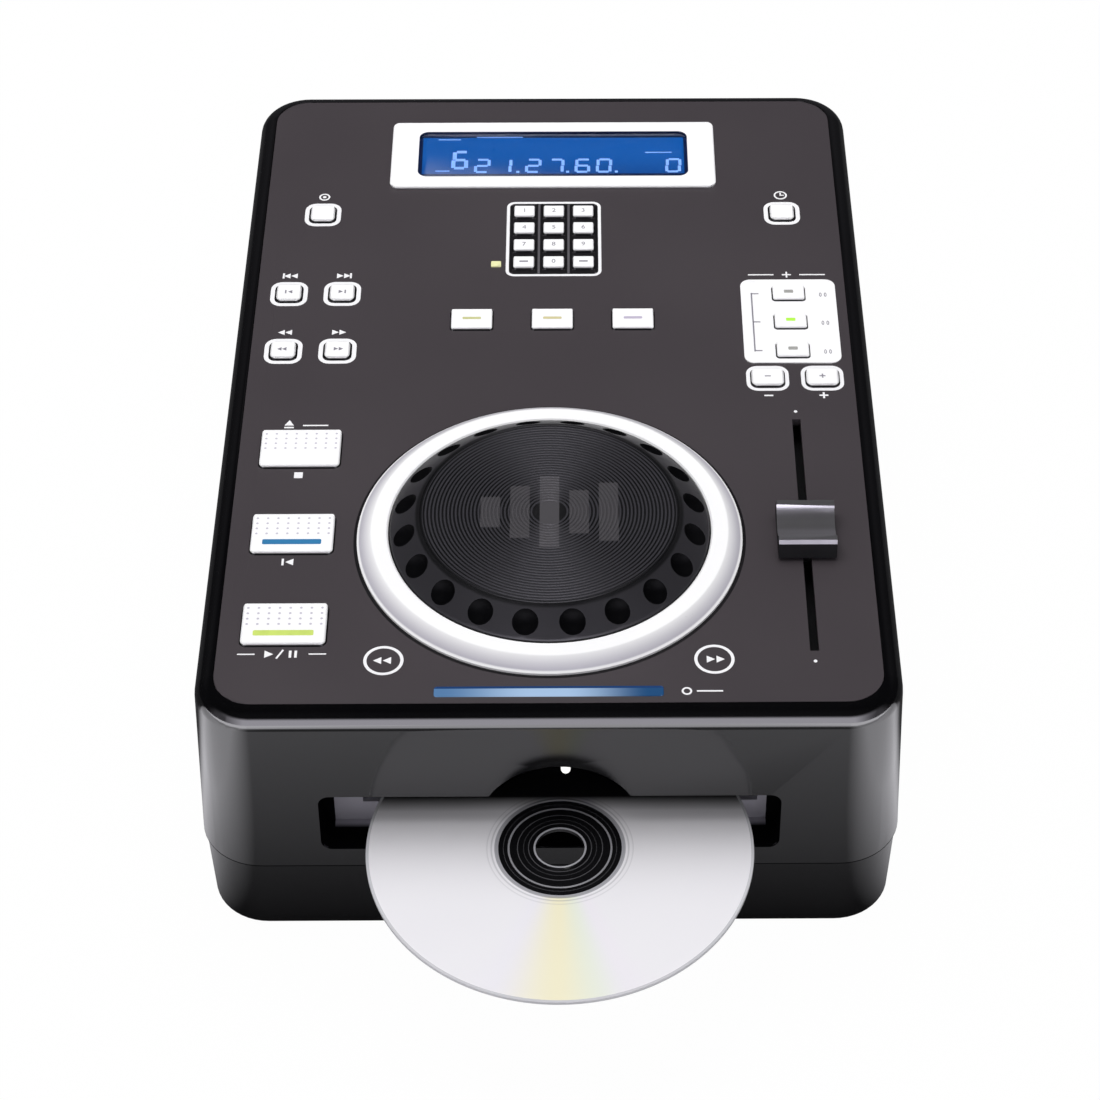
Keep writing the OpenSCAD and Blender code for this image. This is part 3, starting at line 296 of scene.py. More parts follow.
def merged_copy(node, name, flat=False):
    """A copy of a node's mesh with its loose triangles joined up, and with whole flat faces if flat is set."""
    piece = bpy.data.objects.new(name, frame["nodes"][node].data.copy())
    scene.collection.objects.link(piece)
    open_mesh(piece)
    bpy.ops.mesh.remove_doubles(threshold=merge_gap)
    if flat:
        bpy.ops.mesh.dissolve_limited(angle_limit=radians(0.3))
    bpy.ops.object.mode_set(mode="OBJECT")
    piece.data.materials.clear()
    return piece


def shaded_copy(node, name, *materials, angle=32, flat=False):
    """A merged copy with its edges shaded, in one or more materials."""
    piece = merged_copy(node, name, flat)
    shade(piece, angle)
    for material in materials:
        piece.data.materials.append(material)
    return piece


def shadow_black(material, shader, shadow):
    """Turns off the gloss where shadow is 1: inside a gap or a hollow that no light gets out of."""
    tree = material.node_tree
    level = maths(tree, "SUBTRACT", 0.5, product(tree, shadow, 0.5))
    fill(shader, {"Specular IOR Level": level})


gloss_black, shader, colours = start_material(
    "gloss_black", (0.002, 0.002, 0.0025), (0.003, 0.003, 0.0035), 0.06, 0.13, grain=420, patch=9, bump=0.010, ior=1.6
)
tree = gloss_black.node_tree
place = coordinates(tree)
seam_z = shell_low.z
front_lean = 0.0402
front_y = maths(tree, "MULTIPLY_ADD", maths(tree, "SUBTRACT", place["Z"], seam_z), front_lean, shell_low.y)
behind_front = maths(tree, "SUBTRACT", place["Y"], front_y)
aside = maths(tree, "ABSOLUTE", place["X"])
in_slot = product(tree, maths(tree, "GREATER_THAN", behind_front, 0.9 * mm),
                  maths(tree, "LESS_THAN", place["Y"], shell_low.y + 40 * mm),
                  maths(tree, "LESS_THAN", place["Z"], 84 * mm), maths(tree, "LESS_THAN", aside, 80 * mm))
in_seam = maths(tree, "LESS_THAN", place["Z"], seam_z + 0.35 * mm)
shadow_black(gloss_black, shader, maths(tree, "MAXIMUM", in_slot, in_seam))
# Painted reflection: the wall at the back of the slot's hollow is coloured as light as the table that it would mirror
far_wall_painted_reflection = product(tree, in_slot, ramp(tree, behind_front, 9.0 * mm, 11.0 * mm),
                   maths(tree, "LESS_THAN", aside, 68 * mm), maths(tree, "LESS_THAN", place["Z"], 51 * mm))
fill(shader, {"Base Color": tint(tree, far_wall_painted_reflection, colours, (0.34, 0.33, 0.38))})
satin_black, shader, colours = start_material(
    "satin_black", (0.003, 0.003, 0.0035), (0.005, 0.005, 0.0055), 0.12, 0.24, grain=600, patch=12, bump=0.02
)
tree = satin_black.node_tree
shadow_black(satin_black, shader, maths(tree, "GREATER_THAN", coordinates(tree)["Z"], seam_z - 0.6 * mm))
dress(shaded_copy("upper_housing", "upper_shell", gloss_black, flat=True), "upper_housing")
dress(shaded_copy("lower_housing", "lower_shell", satin_black, flat=True), "lower_housing")

# ---------- Feet and screws ----------
# Four moulded rubber feet, glued into shallow seats, and six blackened cross-head screws in deep holes.
foot_rubber = plain_material(
    "foot_rubber", (0.018, 0.018, 0.018), (0.035, 0.034, 0.033), 0.75, 0.95, grain=1800, patch=60, bump=0.5
)
black_steel = plain_material(
    "black_steel", (0.06, 0.06, 0.065), (0.12, 0.12, 0.12), 0.3, 0.45, grain=2500, patch=200, bump=0.15, metallic=1.0
)
dress(shaded_copy("feet", "rubber_feet", foot_rubber), "feet")
dress(shaded_copy("housing_screws", "case_screws", black_steel), "housing_screws")

# ---------- Control panel ----------
# A dark grey panel let into the rim, in fine matt paint, and what is printed on it in white: frames round the
# small buttons, the keypad's frame and plain symbols.
panel_low, panel_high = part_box("face_panel")
panel_z = panel_high.z
panel_grey = plain_material(
    "panel_grey", (0.051, 0.0435, 0.049), (0.057, 0.0485, 0.054), 0.42, 0.55, grain=2200, patch=14, bump=0.12
)
dress(shaded_copy("face_panel", "panel_skin", panel_grey), "face_panel")

print_white = plain_material("print_white", (0.92, 0.92, 0.93), (0.84, 0.84, 0.86), 0.4, 0.55, grain=3000)
# A near black ink: painted shade in the gaps round the small caps and round the jog ring, and a field in the gaps
# round the keys
gap_fill_black = plain_material("gap_fill_black", (0.006, 0.0055, 0.0065), (0.010, 0.009, 0.0105), 0.5, 0.6, grain=2200)
pad_grey = plain_material("pad_grey", (0.09, 0.085, 0.095), (0.12, 0.115, 0.125), 0.5, 0.6, grain=2200)
ink = 0.05
thin_ink = 0.02


def apply_place(piece):
    """Puts a piece's place into its mesh."""
    only(piece)
    bpy.ops.object.transform_apply(location=True, rotation=True, scale=True)
    return piece


def mark(x, y, width, depth, sides=4, corner=0.0, line=0.0, turn=0.0, z=None, thick=ink):
    """A flat printed shape at x, y, its sizes in mm: a rectangle, or a figure of other sides, solid or outlined."""
    select_none()
    place = (x, y, panel_z if z is None else z)
    if sides == 4:
        bpy.ops.mesh.primitive_plane_add(size=1, location=place, rotation=(0, 0, turn))
    else:
        bpy.ops.mesh.primitive_circle_add(vertices=sides, radius=0.5, fill_type="NGON", location=place,
                                          rotation=(0, 0, turn))
    piece = bpy.context.object
    piece.scale = (width * mm, depth * mm, 1)
    open_mesh(apply_place(piece))
    if corner:
        bpy.ops.mesh.bevel(offset=corner * mm, segments=6, affect="VERTICES")
        bpy.ops.mesh.select_all(action="SELECT")
    if line:
        bpy.ops.mesh.inset(thickness=line * mm)
        bpy.ops.mesh.delete(type="FACE")
        bpy.ops.mesh.select_all(action="SELECT")
    bpy.ops.mesh.extrude_region_move(TRANSFORM_OT_translate={"value": (0, 0, thick * mm)})
    bpy.ops.mesh.select_all(action="SELECT")
    bpy.ops.mesh.normals_make_consistent(inside=False)
    bpy.ops.object.mode_set(mode="OBJECT")
    return piece


def marks(x, y, *spots, **options):
    """A mark for each (across, up, width, depth) from x, y, all in mm."""
    return [mark(x + across * mm, y + up * mm, width, depth, **options) for across, up, width, depth in spots]


def join(pieces, name):
    """Several meshes as one object."""
    only(pieces[0])
    for piece in pieces[1:]:
        piece.select_set(True)
    if len(pieces) > 1:
        bpy.ops.object.join()
    joined = bpy.context.object
    joined.name = name
    return joined


def inked(pieces, name, material):
    """Several marks as one object in one material."""
    joined = join(pieces, name)
    joined.data.materials.append(material)
    return joined


def middle(node):
    """The middle of a node in plan, and the height of its top."""
    low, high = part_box(node)
    return (low.x + high.x) / 2, (low.y + high.y) / 2, high.z


def triangle(x, y, size, turn, z=None):
    """A triangle that points along turn, in degrees from +X."""
    return mark(x, y, size, size, sides=3, turn=radians(turn - 90), z=z)


def plus(x, y, size, line, z=None):
    """A plus sign of three bars that don't overlap."""
    short = (size - line) / 2
    reach = (size + line) / 4
    return marks(x, y, (0, 0, size, line), (0, reach, line, short), (0, -reach, line, short), z=z)


prints = []
dark_gap_fills = []
for node in ("single_button", "time_button", "skip_back_button", "skip_forward_button", "search_back_button",
             "search_forward_button"):
    x, y, top = middle(node)
    prints.append(mark(x, y, 12.9, 13.1, corner=3.9, line=1.5))
    # Painted shade: a thin dark outline in the gap round each cap
    dark_gap_fills.append(mark(x, y, 9.9, 10.1, corner=2.4, line=0.45, thick=thin_ink))
for node in ("bend_minus_button", "bend_plus_button"):
    x, y, top = middle(node)
    prints.append(mark(x, y, 14.4, 12.8, corner=3.9, line=1.3))

# Above each pair of small buttons: two arrowheads and a bar for the tracks, and two arrowheads for the search
symbol_up = 10.0 * mm
for node, way in (("skip_back_button", -1), ("skip_forward_button", 1), ("search_back_button", -1),
                  ("search_forward_button", 1)):
    x, y, top = middle(node)
    for step in (0, 1):
        prints.append(triangle(x + way * (2.5 * step - 1.6) * mm, y + symbol_up, 3.1, 90 - way * 90))
    if node.startswith("skip"):
        prints.append(mark(x + way * 2.5 * mm, y + symbol_up, 0.7, 2.8))

# Above the single and time buttons: one disc and a clock face
x, y, top = middle("single_button")
prints += marks(x, y, (0, 10.4, 4.0, 4.0), sides=32, line=0.6)
prints += marks(x, y, (0, 10.4, 1.3, 1.3), sides=24)
x, y, top = middle("time_button")
prints += marks(x, y, (0, 10.6, 4.8, 4.8), sides=32, line=0.6)
prints += marks(x, y, (0, 11.5, 0.5, 1.3), (0.55, 10.6, 1.6, 0.5))

# The keypad's frame, a near black field in the gaps round the keys, and the lines between its columns
pad_x, pad_y, top = middle("key_5")
columns = pad_x - middle("key_4")[0]
rows = pad_y - middle("key_8")[1]
pad_y -= rows / 2
prints.append(mark(pad_x, pad_y, 33.7, 42.5, corner=3.0, line=1.1))
key_w, key_d = 7.9, 6.7
strip_d = 40.7
edge_x, edge_w = 15.2, 1.4
edge_y, edge_d = 19.0, 2.2
for side in (-1, 1):
    dark_gap_fills.append(mark(pad_x + side * columns / 2, pad_y, columns / mm - key_w, strip_d, thick=thin_ink))
    dark_gap_fills += marks(pad_x, pad_y, (side * edge_x, 0, edge_w, 38.0), thick=thin_ink)
for column in (-1, 0, 1):
    x = pad_x + column * columns
    for row in (-1, 0, 1):
        dark_gap_fills.append(mark(x, pad_y + row * rows, key_w, abs(rows) / mm - key_d, thick=thin_ink))
    dark_gap_fills += marks(x, pad_y, (0, -edge_y, key_w, edge_d), (0, edge_y, key_w, edge_d), thick=thin_ink)
pad_lines = marks(pad_x, pad_y, (-5.25, 0, 0.8, 39.6), (5.25, 0, 0.8, 39.6))

# Marks for the transport buttons, the bend buttons, the pitch range and the ends of the fader
label_y = -12.4
x, y, top = middle("play_button")
prints.append(triangle(x - 4.4 * mm, y + label_y * mm, 3.6, 0))
prints += marks(x, y, (-0.6, label_y, 0.6, 4.2), turn=radians(-28))
prints += marks(x, y, (2.6, label_y, 0.8, 3.0), (4.3, label_y, 0.8, 3.0), (-11, label_y, 5.4, 0.5),
                (11, label_y, 5.4, 0.5))
x, y, top = middle("cue_button")
prints += marks(x, y, (-2.4, label_y, 0.7, 3.0))
prints.append(triangle(x + 0.1 * mm, y + label_y * mm, 3.4, 180))
x, y, top = middle("stop_button")
prints += marks(x, y, (0, label_y, 2.8, 2.8), (-4.6, 11.0, 3.2, 0.7), (4.2, 12.0, 8.4, 0.6))
prints.append(triangle(x - 4.6 * mm, y + 12.9 * mm, 3.6, 90))
plate_x, plate_y, plate_top = middle("pitch_plate")
plate_label_y = 25.6
prints += marks(plate_x, plate_y, (-9, plate_label_y, 9, 0.6), (9, plate_label_y, 9, 0.6))
prints += plus(plate_x, plate_y + plate_label_y * mm, 3.2, 0.6)
bend_label_y = middle("bend_plus_button")[1] - 8.8 * mm
prints.append(mark(middle("bend_minus_button")[0], bend_label_y, 3.0, 0.7))
prints += plus(middle("bend_plus_button")[0], bend_label_y, 3.0, 0.7)
fader_x, fader_y, top = middle("fader_body")
prints += marks(fader_x, fader_y, (0, 57.6, 1.2, 1.2), (0, -58.2, 1.2, 1.2), sides=16)

# The two arrow rings in front of the jog wheel, the mark beside the light bar, and painted shade in the gap round the
# wheel
jog_x, jog_y, top = middle("jog_platter")
arrow_y = panel_low.y + 18.0 * mm
for side in (-1, 1):
    x = side * 50.8 * mm
    prints.append(mark(x, arrow_y, 12.4, 12.4, sides=48, line=1.0))
    for step in (-1, 1):
        prints.append(triangle(x + step * 1.5 * mm, arrow_y, 3.4, 90 - side * 90))
bar_x, bar_y, top = middle("light_bar")
prints += marks(bar_x, bar_y, (42, 0, 3.2, 3.2), sides=32, line=0.6)
prints += marks(bar_x, bar_y, (49, 0, 8.0, 0.6))
ring_low, ring_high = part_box("jog_ring")
ring_r = (ring_high.x - ring_low.x) / 2
gap_w = 1.1
gap_across = 2 * (ring_r / mm + gap_w)
dark_gap_fills.append(mark(jog_x, jog_y, gap_across, gap_across, sides=128, line=gap_w, thick=thin_ink))
panel_print = join([
    inked(prints, "panel_print", print_white), inked(dark_gap_fills, "gap_fill_marks", gap_fill_black),
    inked(pad_lines, "pad_lines", pad_grey)
], "panel_print")
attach(panel_print, "housing")

# ---------- Transport buttons ----------
# Three large white caps with a field of faint dots printed on top. The cue button's window is blue and the play
# button's is yellow-green, each lit from behind.
white_plastic = ((0.96, 0.96, 0.965), (0.935, 0.935, 0.945))


def white_with_painted_shade(name, dark_z, white_z):
    """White plastic with painted shade at the foot of its sides, where the gap round a cap takes the light away."""
    material, shader, colours = start_material(name, *white_plastic, 0.28, 0.4, grain=1500, patch=30, bump=0.06)
    tree = material.node_tree
    low = ramp(tree, coordinates(tree)["Z"], dark_z, white_z, 1.0, 0.0)
    fill(shader, {"Base Color": tint(tree, low, colours, (0.02, 0.02, 0.022))})
    return material


# Painted shade: the caps' white turns near black at the foot of their sides
button_white = white_with_painted_shade("button_white", panel_z + 0.35 * mm, panel_z + 0.65 * mm)


def window_material(name, colour, strength):
    """A clear coloured window with a lamp behind it."""
    material, shader, colours = start_material(
        name, colour, [0.8 * c for c in colour], 0.15, 0.25, grain=900, patch=300, bump=0.03
    )
    fill(shader, {"Emission Color": (*colour, 1), "Emission Strength": strength})
    return material


blue_window = window_material("blue_window", (0.03, 0.16, 0.33), 0.35)
green_window = window_material("green_window", (0.50, 0.62, 0.14), 0.3)
dot_ink = plain_material("dot_ink", (0.52, 0.50, 0.58), (0.60, 0.58, 0.66), 0.4, 0.5)
dot_columns, dot_rows = 8, 4
dot_pitch_x, dot_pitch_y = 3.3, 2.35
dot_w = 0.85
first_row = 3.2
dots_at = [((column - (dot_columns - 1) / 2) * dot_pitch_x, -first_row - row * dot_pitch_y, dot_w, dot_w)
           for row in range(dot_rows) for column in range(dot_columns)]
for node, window in (("play_button", green_window), ("cue_button", blue_window), ("stop_button", None)):
    x, y, top = middle(node)
    cap = shaded_copy(node, node.replace("button", "cap"), button_white)
    dots = marks(x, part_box(node)[1].y, *dots_at, sides=10, z=top, thick=thin_ink)
    parts = [cap, inked(dots, "cap_dots", dot_ink)]
    if window:
        parts.append(inked(marks(x, y, (0, -4.3, 18.8, 2.3), corner=0.5, z=top), "cap_window", window))
    dress(join(parts, cap.name), node)

# ---------- Mode buttons ----------
# Three flat white keys in a row, each with a short faint coloured line printed on it.
line_inks = {
    "mode_button_left": plain_material("olive_ink", (0.55, 0.56, 0.25), (0.6, 0.6, 0.3), 0.5, 0.6),
    "mode_button_centre": plain_material("ochre_ink", (0.62, 0.56, 0.28), (0.66, 0.6, 0.34), 0.5, 0.6),
    "mode_button_right": plain_material("mauve_ink", (0.50, 0.44, 0.58), (0.54, 0.5, 0.62), 0.5, 0.6),
}
for node, line_ink in line_inks.items():
    x, y, top = middle(node)
    cap = shaded_copy(node, node.replace("button", "cap"), button_white)
    line = inked([mark(x, y, 6.4, 1.2, corner=0.4, z=top)], "key_line", line_ink)
    dress(join([cap, line], cap.name), node)

# ---------- Pitch range ----------
# A white plate with a grey bracket printed on it, and three keys with a small lamp in each. The middle lamp is on.
plate_white = plain_material("plate_white", *white_plastic, 0.28, 0.4, grain=1500, patch=30, bump=0.06)
range_white = white_with_painted_shade("range_white", plate_top + 0.3 * mm, plate_top + 0.6 * mm)
plate = shaded_copy("pitch_plate", "range_plate", plate_white)
grey_ink = plain_material("grey_ink", (0.20, 0.19, 0.23), (0.28, 0.27, 0.31), 0.5, 0.6)
lamp_off = window_material("lamp_off", (0.42, 0.42, 0.40), 0.0)
lamp_green = window_material("lamp_green", (0.30, 0.60, 0.05), 0.7)
bracket_y = -0.8
bracket_pitch = 15.3
bracket = marks(plate_x, plate_y, (-12.8, bracket_y, 0.5, 31.5), z=plate_top)
for step in (-1, 0, 1):
    level = bracket_y + step * bracket_pitch
    bracket += marks(plate_x, plate_y, (-11.5, level, 2.4, 0.5), z=plate_top)
    bracket += marks(plate_x, plate_y, (11.2, level - 0.6, 0.9, 2.2), (12.9, level - 0.6, 0.9, 2.2), sides=24,
                     line=0.25, z=plate_top)
dress(join([plate, inked(bracket, "range_bracket", grey_ink)], "range_plate"), "pitch_plate")
for node, lamp in (("pitch_range_low", lamp_off), ("pitch_range_mid", lamp_green), ("pitch_range_high", lamp_off)):
    x, y, top = middle(node)
    cap = shaded_copy(node, node.replace("pitch_range", "range_cap"), range_white)
    window = inked([mark(x, y, 3.2, 1.6, corner=0.3, z=top)], "range_lamp", lamp)
    dress(join([cap, window], cap.name), node)

# ---------- Keypad ----------
# Twelve small keys with white tops and painted shade on their sides, plain digits printed in grey, and lines beside
# the nought.
digit_h = 2.9 * mm
key_white = white_with_painted_shade("key_white", panel_z + 0.65 * mm, panel_z + 1.0 * mm)
for node in [n for n in frame["nodes"] if n.startswith("key_")]:
    x, y, top = middle(node)
    cap = shaded_copy(node, node.replace("key_", "keycap_"), key_white)
    digit = node.split("_")[-1]
    if digit.isdigit():
        only(cap)
        bpy.ops.object.text_add(location=(x, y, top))
        label = bpy.context.object
        label.data.body = digit
        label.data.size = digit_h
        label.data.align_x = "CENTER"
        label.data.align_y = "CENTER"
        label.data.extrude = ink * mm / 2
        only(label)
        bpy.ops.object.convert(target="MESH")
        label = apply_place(bpy.context.object)
        label.data.materials.clear()
    else:
        label = mark(x, y, 3.0, 0.7, z=top)
    label.data.materials.append(grey_ink)
    dress(join([cap, label], cap.name), node)

# ---------- Small buttons ----------
# White square keys with rounded corners, each in its printed ring, with a plain symbol: skip, search, plus, minus.
signs = {
    "skip_back_button": ("skip", 180), "skip_forward_button": ("skip", 0), "search_back_button": ("search", 180),
    "search_forward_button": ("search", 0), "bend_minus_button": ("minus", 0), "bend_plus_button": ("plus", 0),
    "single_button": ("", 0), "time_button": ("", 0),
}
for node, (sign, turn) in signs.items():
    x, y, top = middle(node)
    way = cos(radians(turn))
    cap = shaded_copy(node, node.replace("button", "cap"), button_white)
    drawn = []
    if sign in ("skip", "search"):
        for step in (0, 1) if sign == "search" else (0,):
            drawn.append(triangle(x + way * (step * 1.7 - 0.7) * mm, y, 2.0, turn, z=top))
    if sign == "skip":
        drawn += marks(x, y, (way * 1.1, 0, 0.5, 1.8), z=top)
    if sign == "minus":
        drawn.append(mark(x, y, 2.0, 0.5, z=top))
    if sign == "plus":
        drawn = plus(x, y, 2.0, 0.5, z=top)
    if drawn:
        cap = join([cap, inked(drawn, "sign", grey_ink)], cap.name)
    dress(cap, node)

# ---------- Display ----------
# A white frame round a clear pane, and under it a blue lit panel with white digits made of straight bars.
frame_white = plain_material("frame_white", *white_plastic, 0.3, 0.42, grain=1500, bump=0.06)
window_navy = plain_material("window_navy", (0.003, 0.006, 0.03), (0.004, 0.008, 0.04), 0.4, 0.5)
bezel = shaded_copy("display_bezel", "display_frame", frame_white, window_navy)
bezel_middle = Vector(middle("display_bezel"))
window_half_w, window_half_d = 49.7 * mm, 14.0 * mm
for face in bezel.data.polygons:
    off = face.center - bezel_middle
    in_window = abs(off.x) < window_half_w and abs(off.y) < window_half_d and abs(face.normal.z) < 0.3
    face.material_index = int(in_window and off.z < -0.15 * mm)
dress(bezel, "display_bezel")
clear_pane, shader, colours = start_material(
    "clear_pane", (0.96, 0.98, 1), (0.93, 0.96, 1), 0.02, 0.05, bump=0.004, ior=1.3
)
fill(shader, {"Transmission Weight": 1.0})
dress(shaded_copy("display_lens", "display_pane", clear_pane), "display_lens")

glass_low, glass_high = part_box("display_module")
glass_x, glass_y, glass_top = middle("display_module")
glass_half_y = (glass_high.y - glass_low.y) / 2
lit_blue, shader, colours = start_material(
    "lit_blue", (0.002, 0.01, 0.03), (0.003, 0.012, 0.035), 0.25, 0.35, bump=0.02
)
tree = lit_blue.node_tree
place = coordinates(tree)
# Painted shade: the lit blue darkens towards the bottom, as under the shadow of the frame
above_painted_shade = ramp(tree, place["Y"], glass_y - 0.9 * glass_half_y, glass_y + 0.2 * glass_half_y, smooth=True)
blues = tint(tree, above_painted_shade, (0.003, 0.060, 0.27, 1), (0.004, 0.100, 0.41))
lit_area = product(tree, maths(tree, "COMPARE", place["X"], glass_x, 48.0 * mm),
                   maths(tree, "COMPARE", place["Y"], glass_y + 2.2 * mm, 10.9 * mm))
blues = tint(tree, maths(tree, "SUBTRACT", 1.0, lit_area), blues, (0.004, 0.010, 0.05))
fill(shader, {"Emission Color": blues, "Emission Strength": 1.0})
panel_glass = shaded_copy("display_module", "lit_panel", lit_blue)

digit_glow = window_material("digit_glow", (0.24, 0.42, 0.82), 0.8)
lit_bars = {"0": "abcdef", "1": "bc", "2": "abged", "6": "afgedc", "7": "abc"}


def lit_digit(number, left, bottom, width, height):
    """The bars of one digit that leans a little to the right, in the box from its lower left corner, in mm."""
    stroke = 0.13 * height
    lean = 0.07
    span = width - stroke - lean * height
    climb = height - stroke
    across = {"a": 1.0, "g": 0.5, "d": 0.0}
    upright = {"f": (0, 0.75), "b": (1, 0.75), "e": (0, 0.25), "c": (1, 0.25)}
    spots = []
    for bar in lit_bars[number]:
        side, rise = upright.get(bar, (0.5, across.get(bar)))
        x = left + stroke / 2 + side * span + lean * rise * height
        y = bottom + stroke / 2 + rise * climb
        size = (span - 0.7 * stroke, stroke) if bar in across else (stroke, climb / 2 - 0.3 * stroke)
        spots.append((x, y, *size))
    return spots


spots = lit_digit("6", 11.8, 4.0, 6.9, 11.2)
for number, left in (("2", 20.2), ("1", 28.2), ("2", 38.9), ("7", 47.3), ("6", 57.0), ("0", 64.8), ("0", 90.2)):
    spots += lit_digit(number, left, 1.8, 6.3, 8.5)
spots += [(left, 2.4, 1.1, 1.1) for left in (36.4, 54.6, 72.4)]
spots += [(29.5, 23.5, 17.0, 0.5), (11.0, 22.0, 8.3, 0.5), (88.0, 14.0, 9.8, 0.5), (8.8, 3.0, 5.2, 0.5)]
lit_marks = marks(glass_x - 49.3 * mm, glass_y - 10.0 * mm, *spots, z=glass_top)
dress(join([panel_glass, inked(lit_marks, "lit_digits", digit_glow)], "lit_panel"), "display_module")

# ---------- Lights ----------
# A clear blue bar set into the panel's front, lit in the middle, a small yellow-green lamp by the keypad, and a
# white lamp that hangs in the roof of the finger scoop.
bar_blue, shader, colours = start_material(
    "bar_blue", (0.006, 0.02, 0.05), (0.008, 0.025, 0.06), 0.12, 0.2, bump=0.02
)
tree = bar_blue.node_tree
place = coordinates(tree)
to_middle = ramp(tree, place["X"], -33 * mm, -4 * mm, smooth=True)
past_middle = ramp(tree, place["X"], 4 * mm, 31 * mm, smooth=True)
back_line = maths(tree, "GREATER_THAN", place["Y"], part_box("light_bar")[1].y - 0.9 * mm)
blues = tint(tree, to_middle, (0.10, 0.21, 0.39, 1), (0.42, 0.58, 0.80))
blues = tint(tree, past_middle, blues, (0.012, 0.06, 0.16))
blues = tint(tree, back_line, blues, (0.01, 0.035, 0.13))
fill(shader, {"Emission Color": blues, "Emission Strength": 0.9})
dress(shaded_copy("light_bar", "slot_light", bar_blue), "light_bar")

white_lamp = window_material("white_lamp", (0.85, 0.85, 0.82), 1.0)
yellow_lamp = window_material("yellow_lamp", (0.66, 0.66, 0.36), 0.35)
lamps = shaded_copy("indicator_leds", "small_lamps", white_lamp, yellow_lamp)
for face in lamps.data.polygons:
    face.material_index = int(face.center.y > jog_y)
dress(lamps, "indicator_leds")

# ---------- Jog wheel ----------
# A white ring with a silver slope stands round a black rubbery wheel, which is turned with fine grooves and has a
# ring of scooped finger dimples. Its middle carries five plain grey bars, printed over the grooves.
ring_top = ring_high.z
ring_inner = 51.5 * mm
ring_flat = 57.0 * mm


def lathe(name, x, y, outline, steps=128):
    """Spins an outline of (radius, height) points round the upright axis at x, y."""
    select_none()
    first = Vector((x + outline[0][0], y, outline[0][1]))
    bpy.ops.mesh.primitive_plane_add(size=mm, location=first)
    piece = apply_place(bpy.context.object)
    piece.name = name
    bpy.ops.object.mode_set(mode="EDIT")
    bpy.ops.mesh.select_mode(type="VERT")
    bpy.ops.mesh.select_all(action="SELECT")
    bpy.ops.mesh.merge(type="CENTER")
    for (r0, z0), (r1, z1) in zip(outline, outline[1:]):
        bpy.ops.mesh.extrude_region_move(TRANSFORM_OT_translate={"value": (r1 - r0, 0, z1 - z0)})
    bpy.ops.mesh.select_all(action="SELECT")
    bpy.ops.mesh.spin(steps=steps, angle=2 * pi, center=(x, y, 0), axis=(0, 0, 1))
    bpy.ops.mesh.select_all(action="SELECT")
    bpy.ops.mesh.remove_doubles(threshold=merge_gap)
    bpy.ops.mesh.normals_make_consistent(inside=False)
    bpy.ops.object.mode_set(mode="OBJECT")
    return piece


def cut(piece, cutters):
    """Takes the cutters' shapes out of a piece."""
    cutter = join(cutters, "cutter")
    only(piece)
    boolean = piece.modifiers.new("cut", "BOOLEAN")
    boolean.operation = "DIFFERENCE"
    boolean.solver = "EXACT"
    boolean.object = cutter
    bpy.ops.object.modifier_apply(modifier=boolean.name)
    bpy.data.objects.remove(cutter)


def radius_mask(tree, x, y, inner, outer):
    """From 0 to 1 between two radii round the upright axis at x, y."""
    place = add_node(tree, "ShaderNodeTexCoord").outputs["Object"]
    flat = add_node(tree, "ShaderNodeVectorMath", {0: place, 1: (1, 1, 0)}, operation="MULTIPLY").outputs[0]
    apart = add_node(tree, "ShaderNodeVectorMath", {0: flat, 1: (x, y, 0)}, operation="DISTANCE").outputs["Value"]
    return ramp(tree, apart, inner, outer)


ring_paint, shader, colours = start_material(
    "ring_paint", (0.96, 0.96, 0.965), (0.93, 0.93, 0.94), 0.25, 0.38, grain=2600, patch=30, bump=0.08
)
tree = ring_paint.node_tree
slope_mask = maths(tree, "SUBTRACT", radius_mask(tree, jog_x, jog_y, ring_flat - 0.2 * mm, ring_flat + 3.6 * mm),
                   radius_mask(tree, jog_x, jog_y, ring_r - 0.9 * mm, ring_r - 0.5 * mm))
fill(shader, {
    "Base Color": tint(tree, slope_mask, colours, (0.60, 0.585, 0.65)), "Metallic": product(tree, slope_mask, 0.18)
})
outline = [
    (ring_inner, ring_low.z), (ring_inner, ring_top - 0.5 * mm), (ring_inner + 0.5 * mm, ring_top),
    (ring_flat - 0.4 * mm, ring_top), (ring_flat + 0.2 * mm, ring_top - 0.2 * mm), (ring_r, panel_z + 0.8 * mm),
    (ring_r, panel_z), (ring_r - 2.1 * mm, panel_z), (ring_r - 2.1 * mm, ring_low.z), (ring_inner, ring_low.z)
]
jog_surround = lathe("jog_surround", jog_x, jog_y, outline)
shade(jog_surround, 40)
jog_surround.data.materials.append(ring_paint)
jog_bearing = merged_copy("jog_ring", "jog_bearing")
open_mesh(jog_bearing)
bpy.ops.mesh.bisect(plane_co=(0, 0, panel_z - 9 * mm), plane_no=(0, 0, 1), use_fill=True, clear_outer=True)
bpy.ops.object.mode_set(mode="OBJECT")
jog_bearing.data.materials.append(ring_paint)
dress(join([jog_surround, jog_bearing], "jog_surround"), "jog_ring")

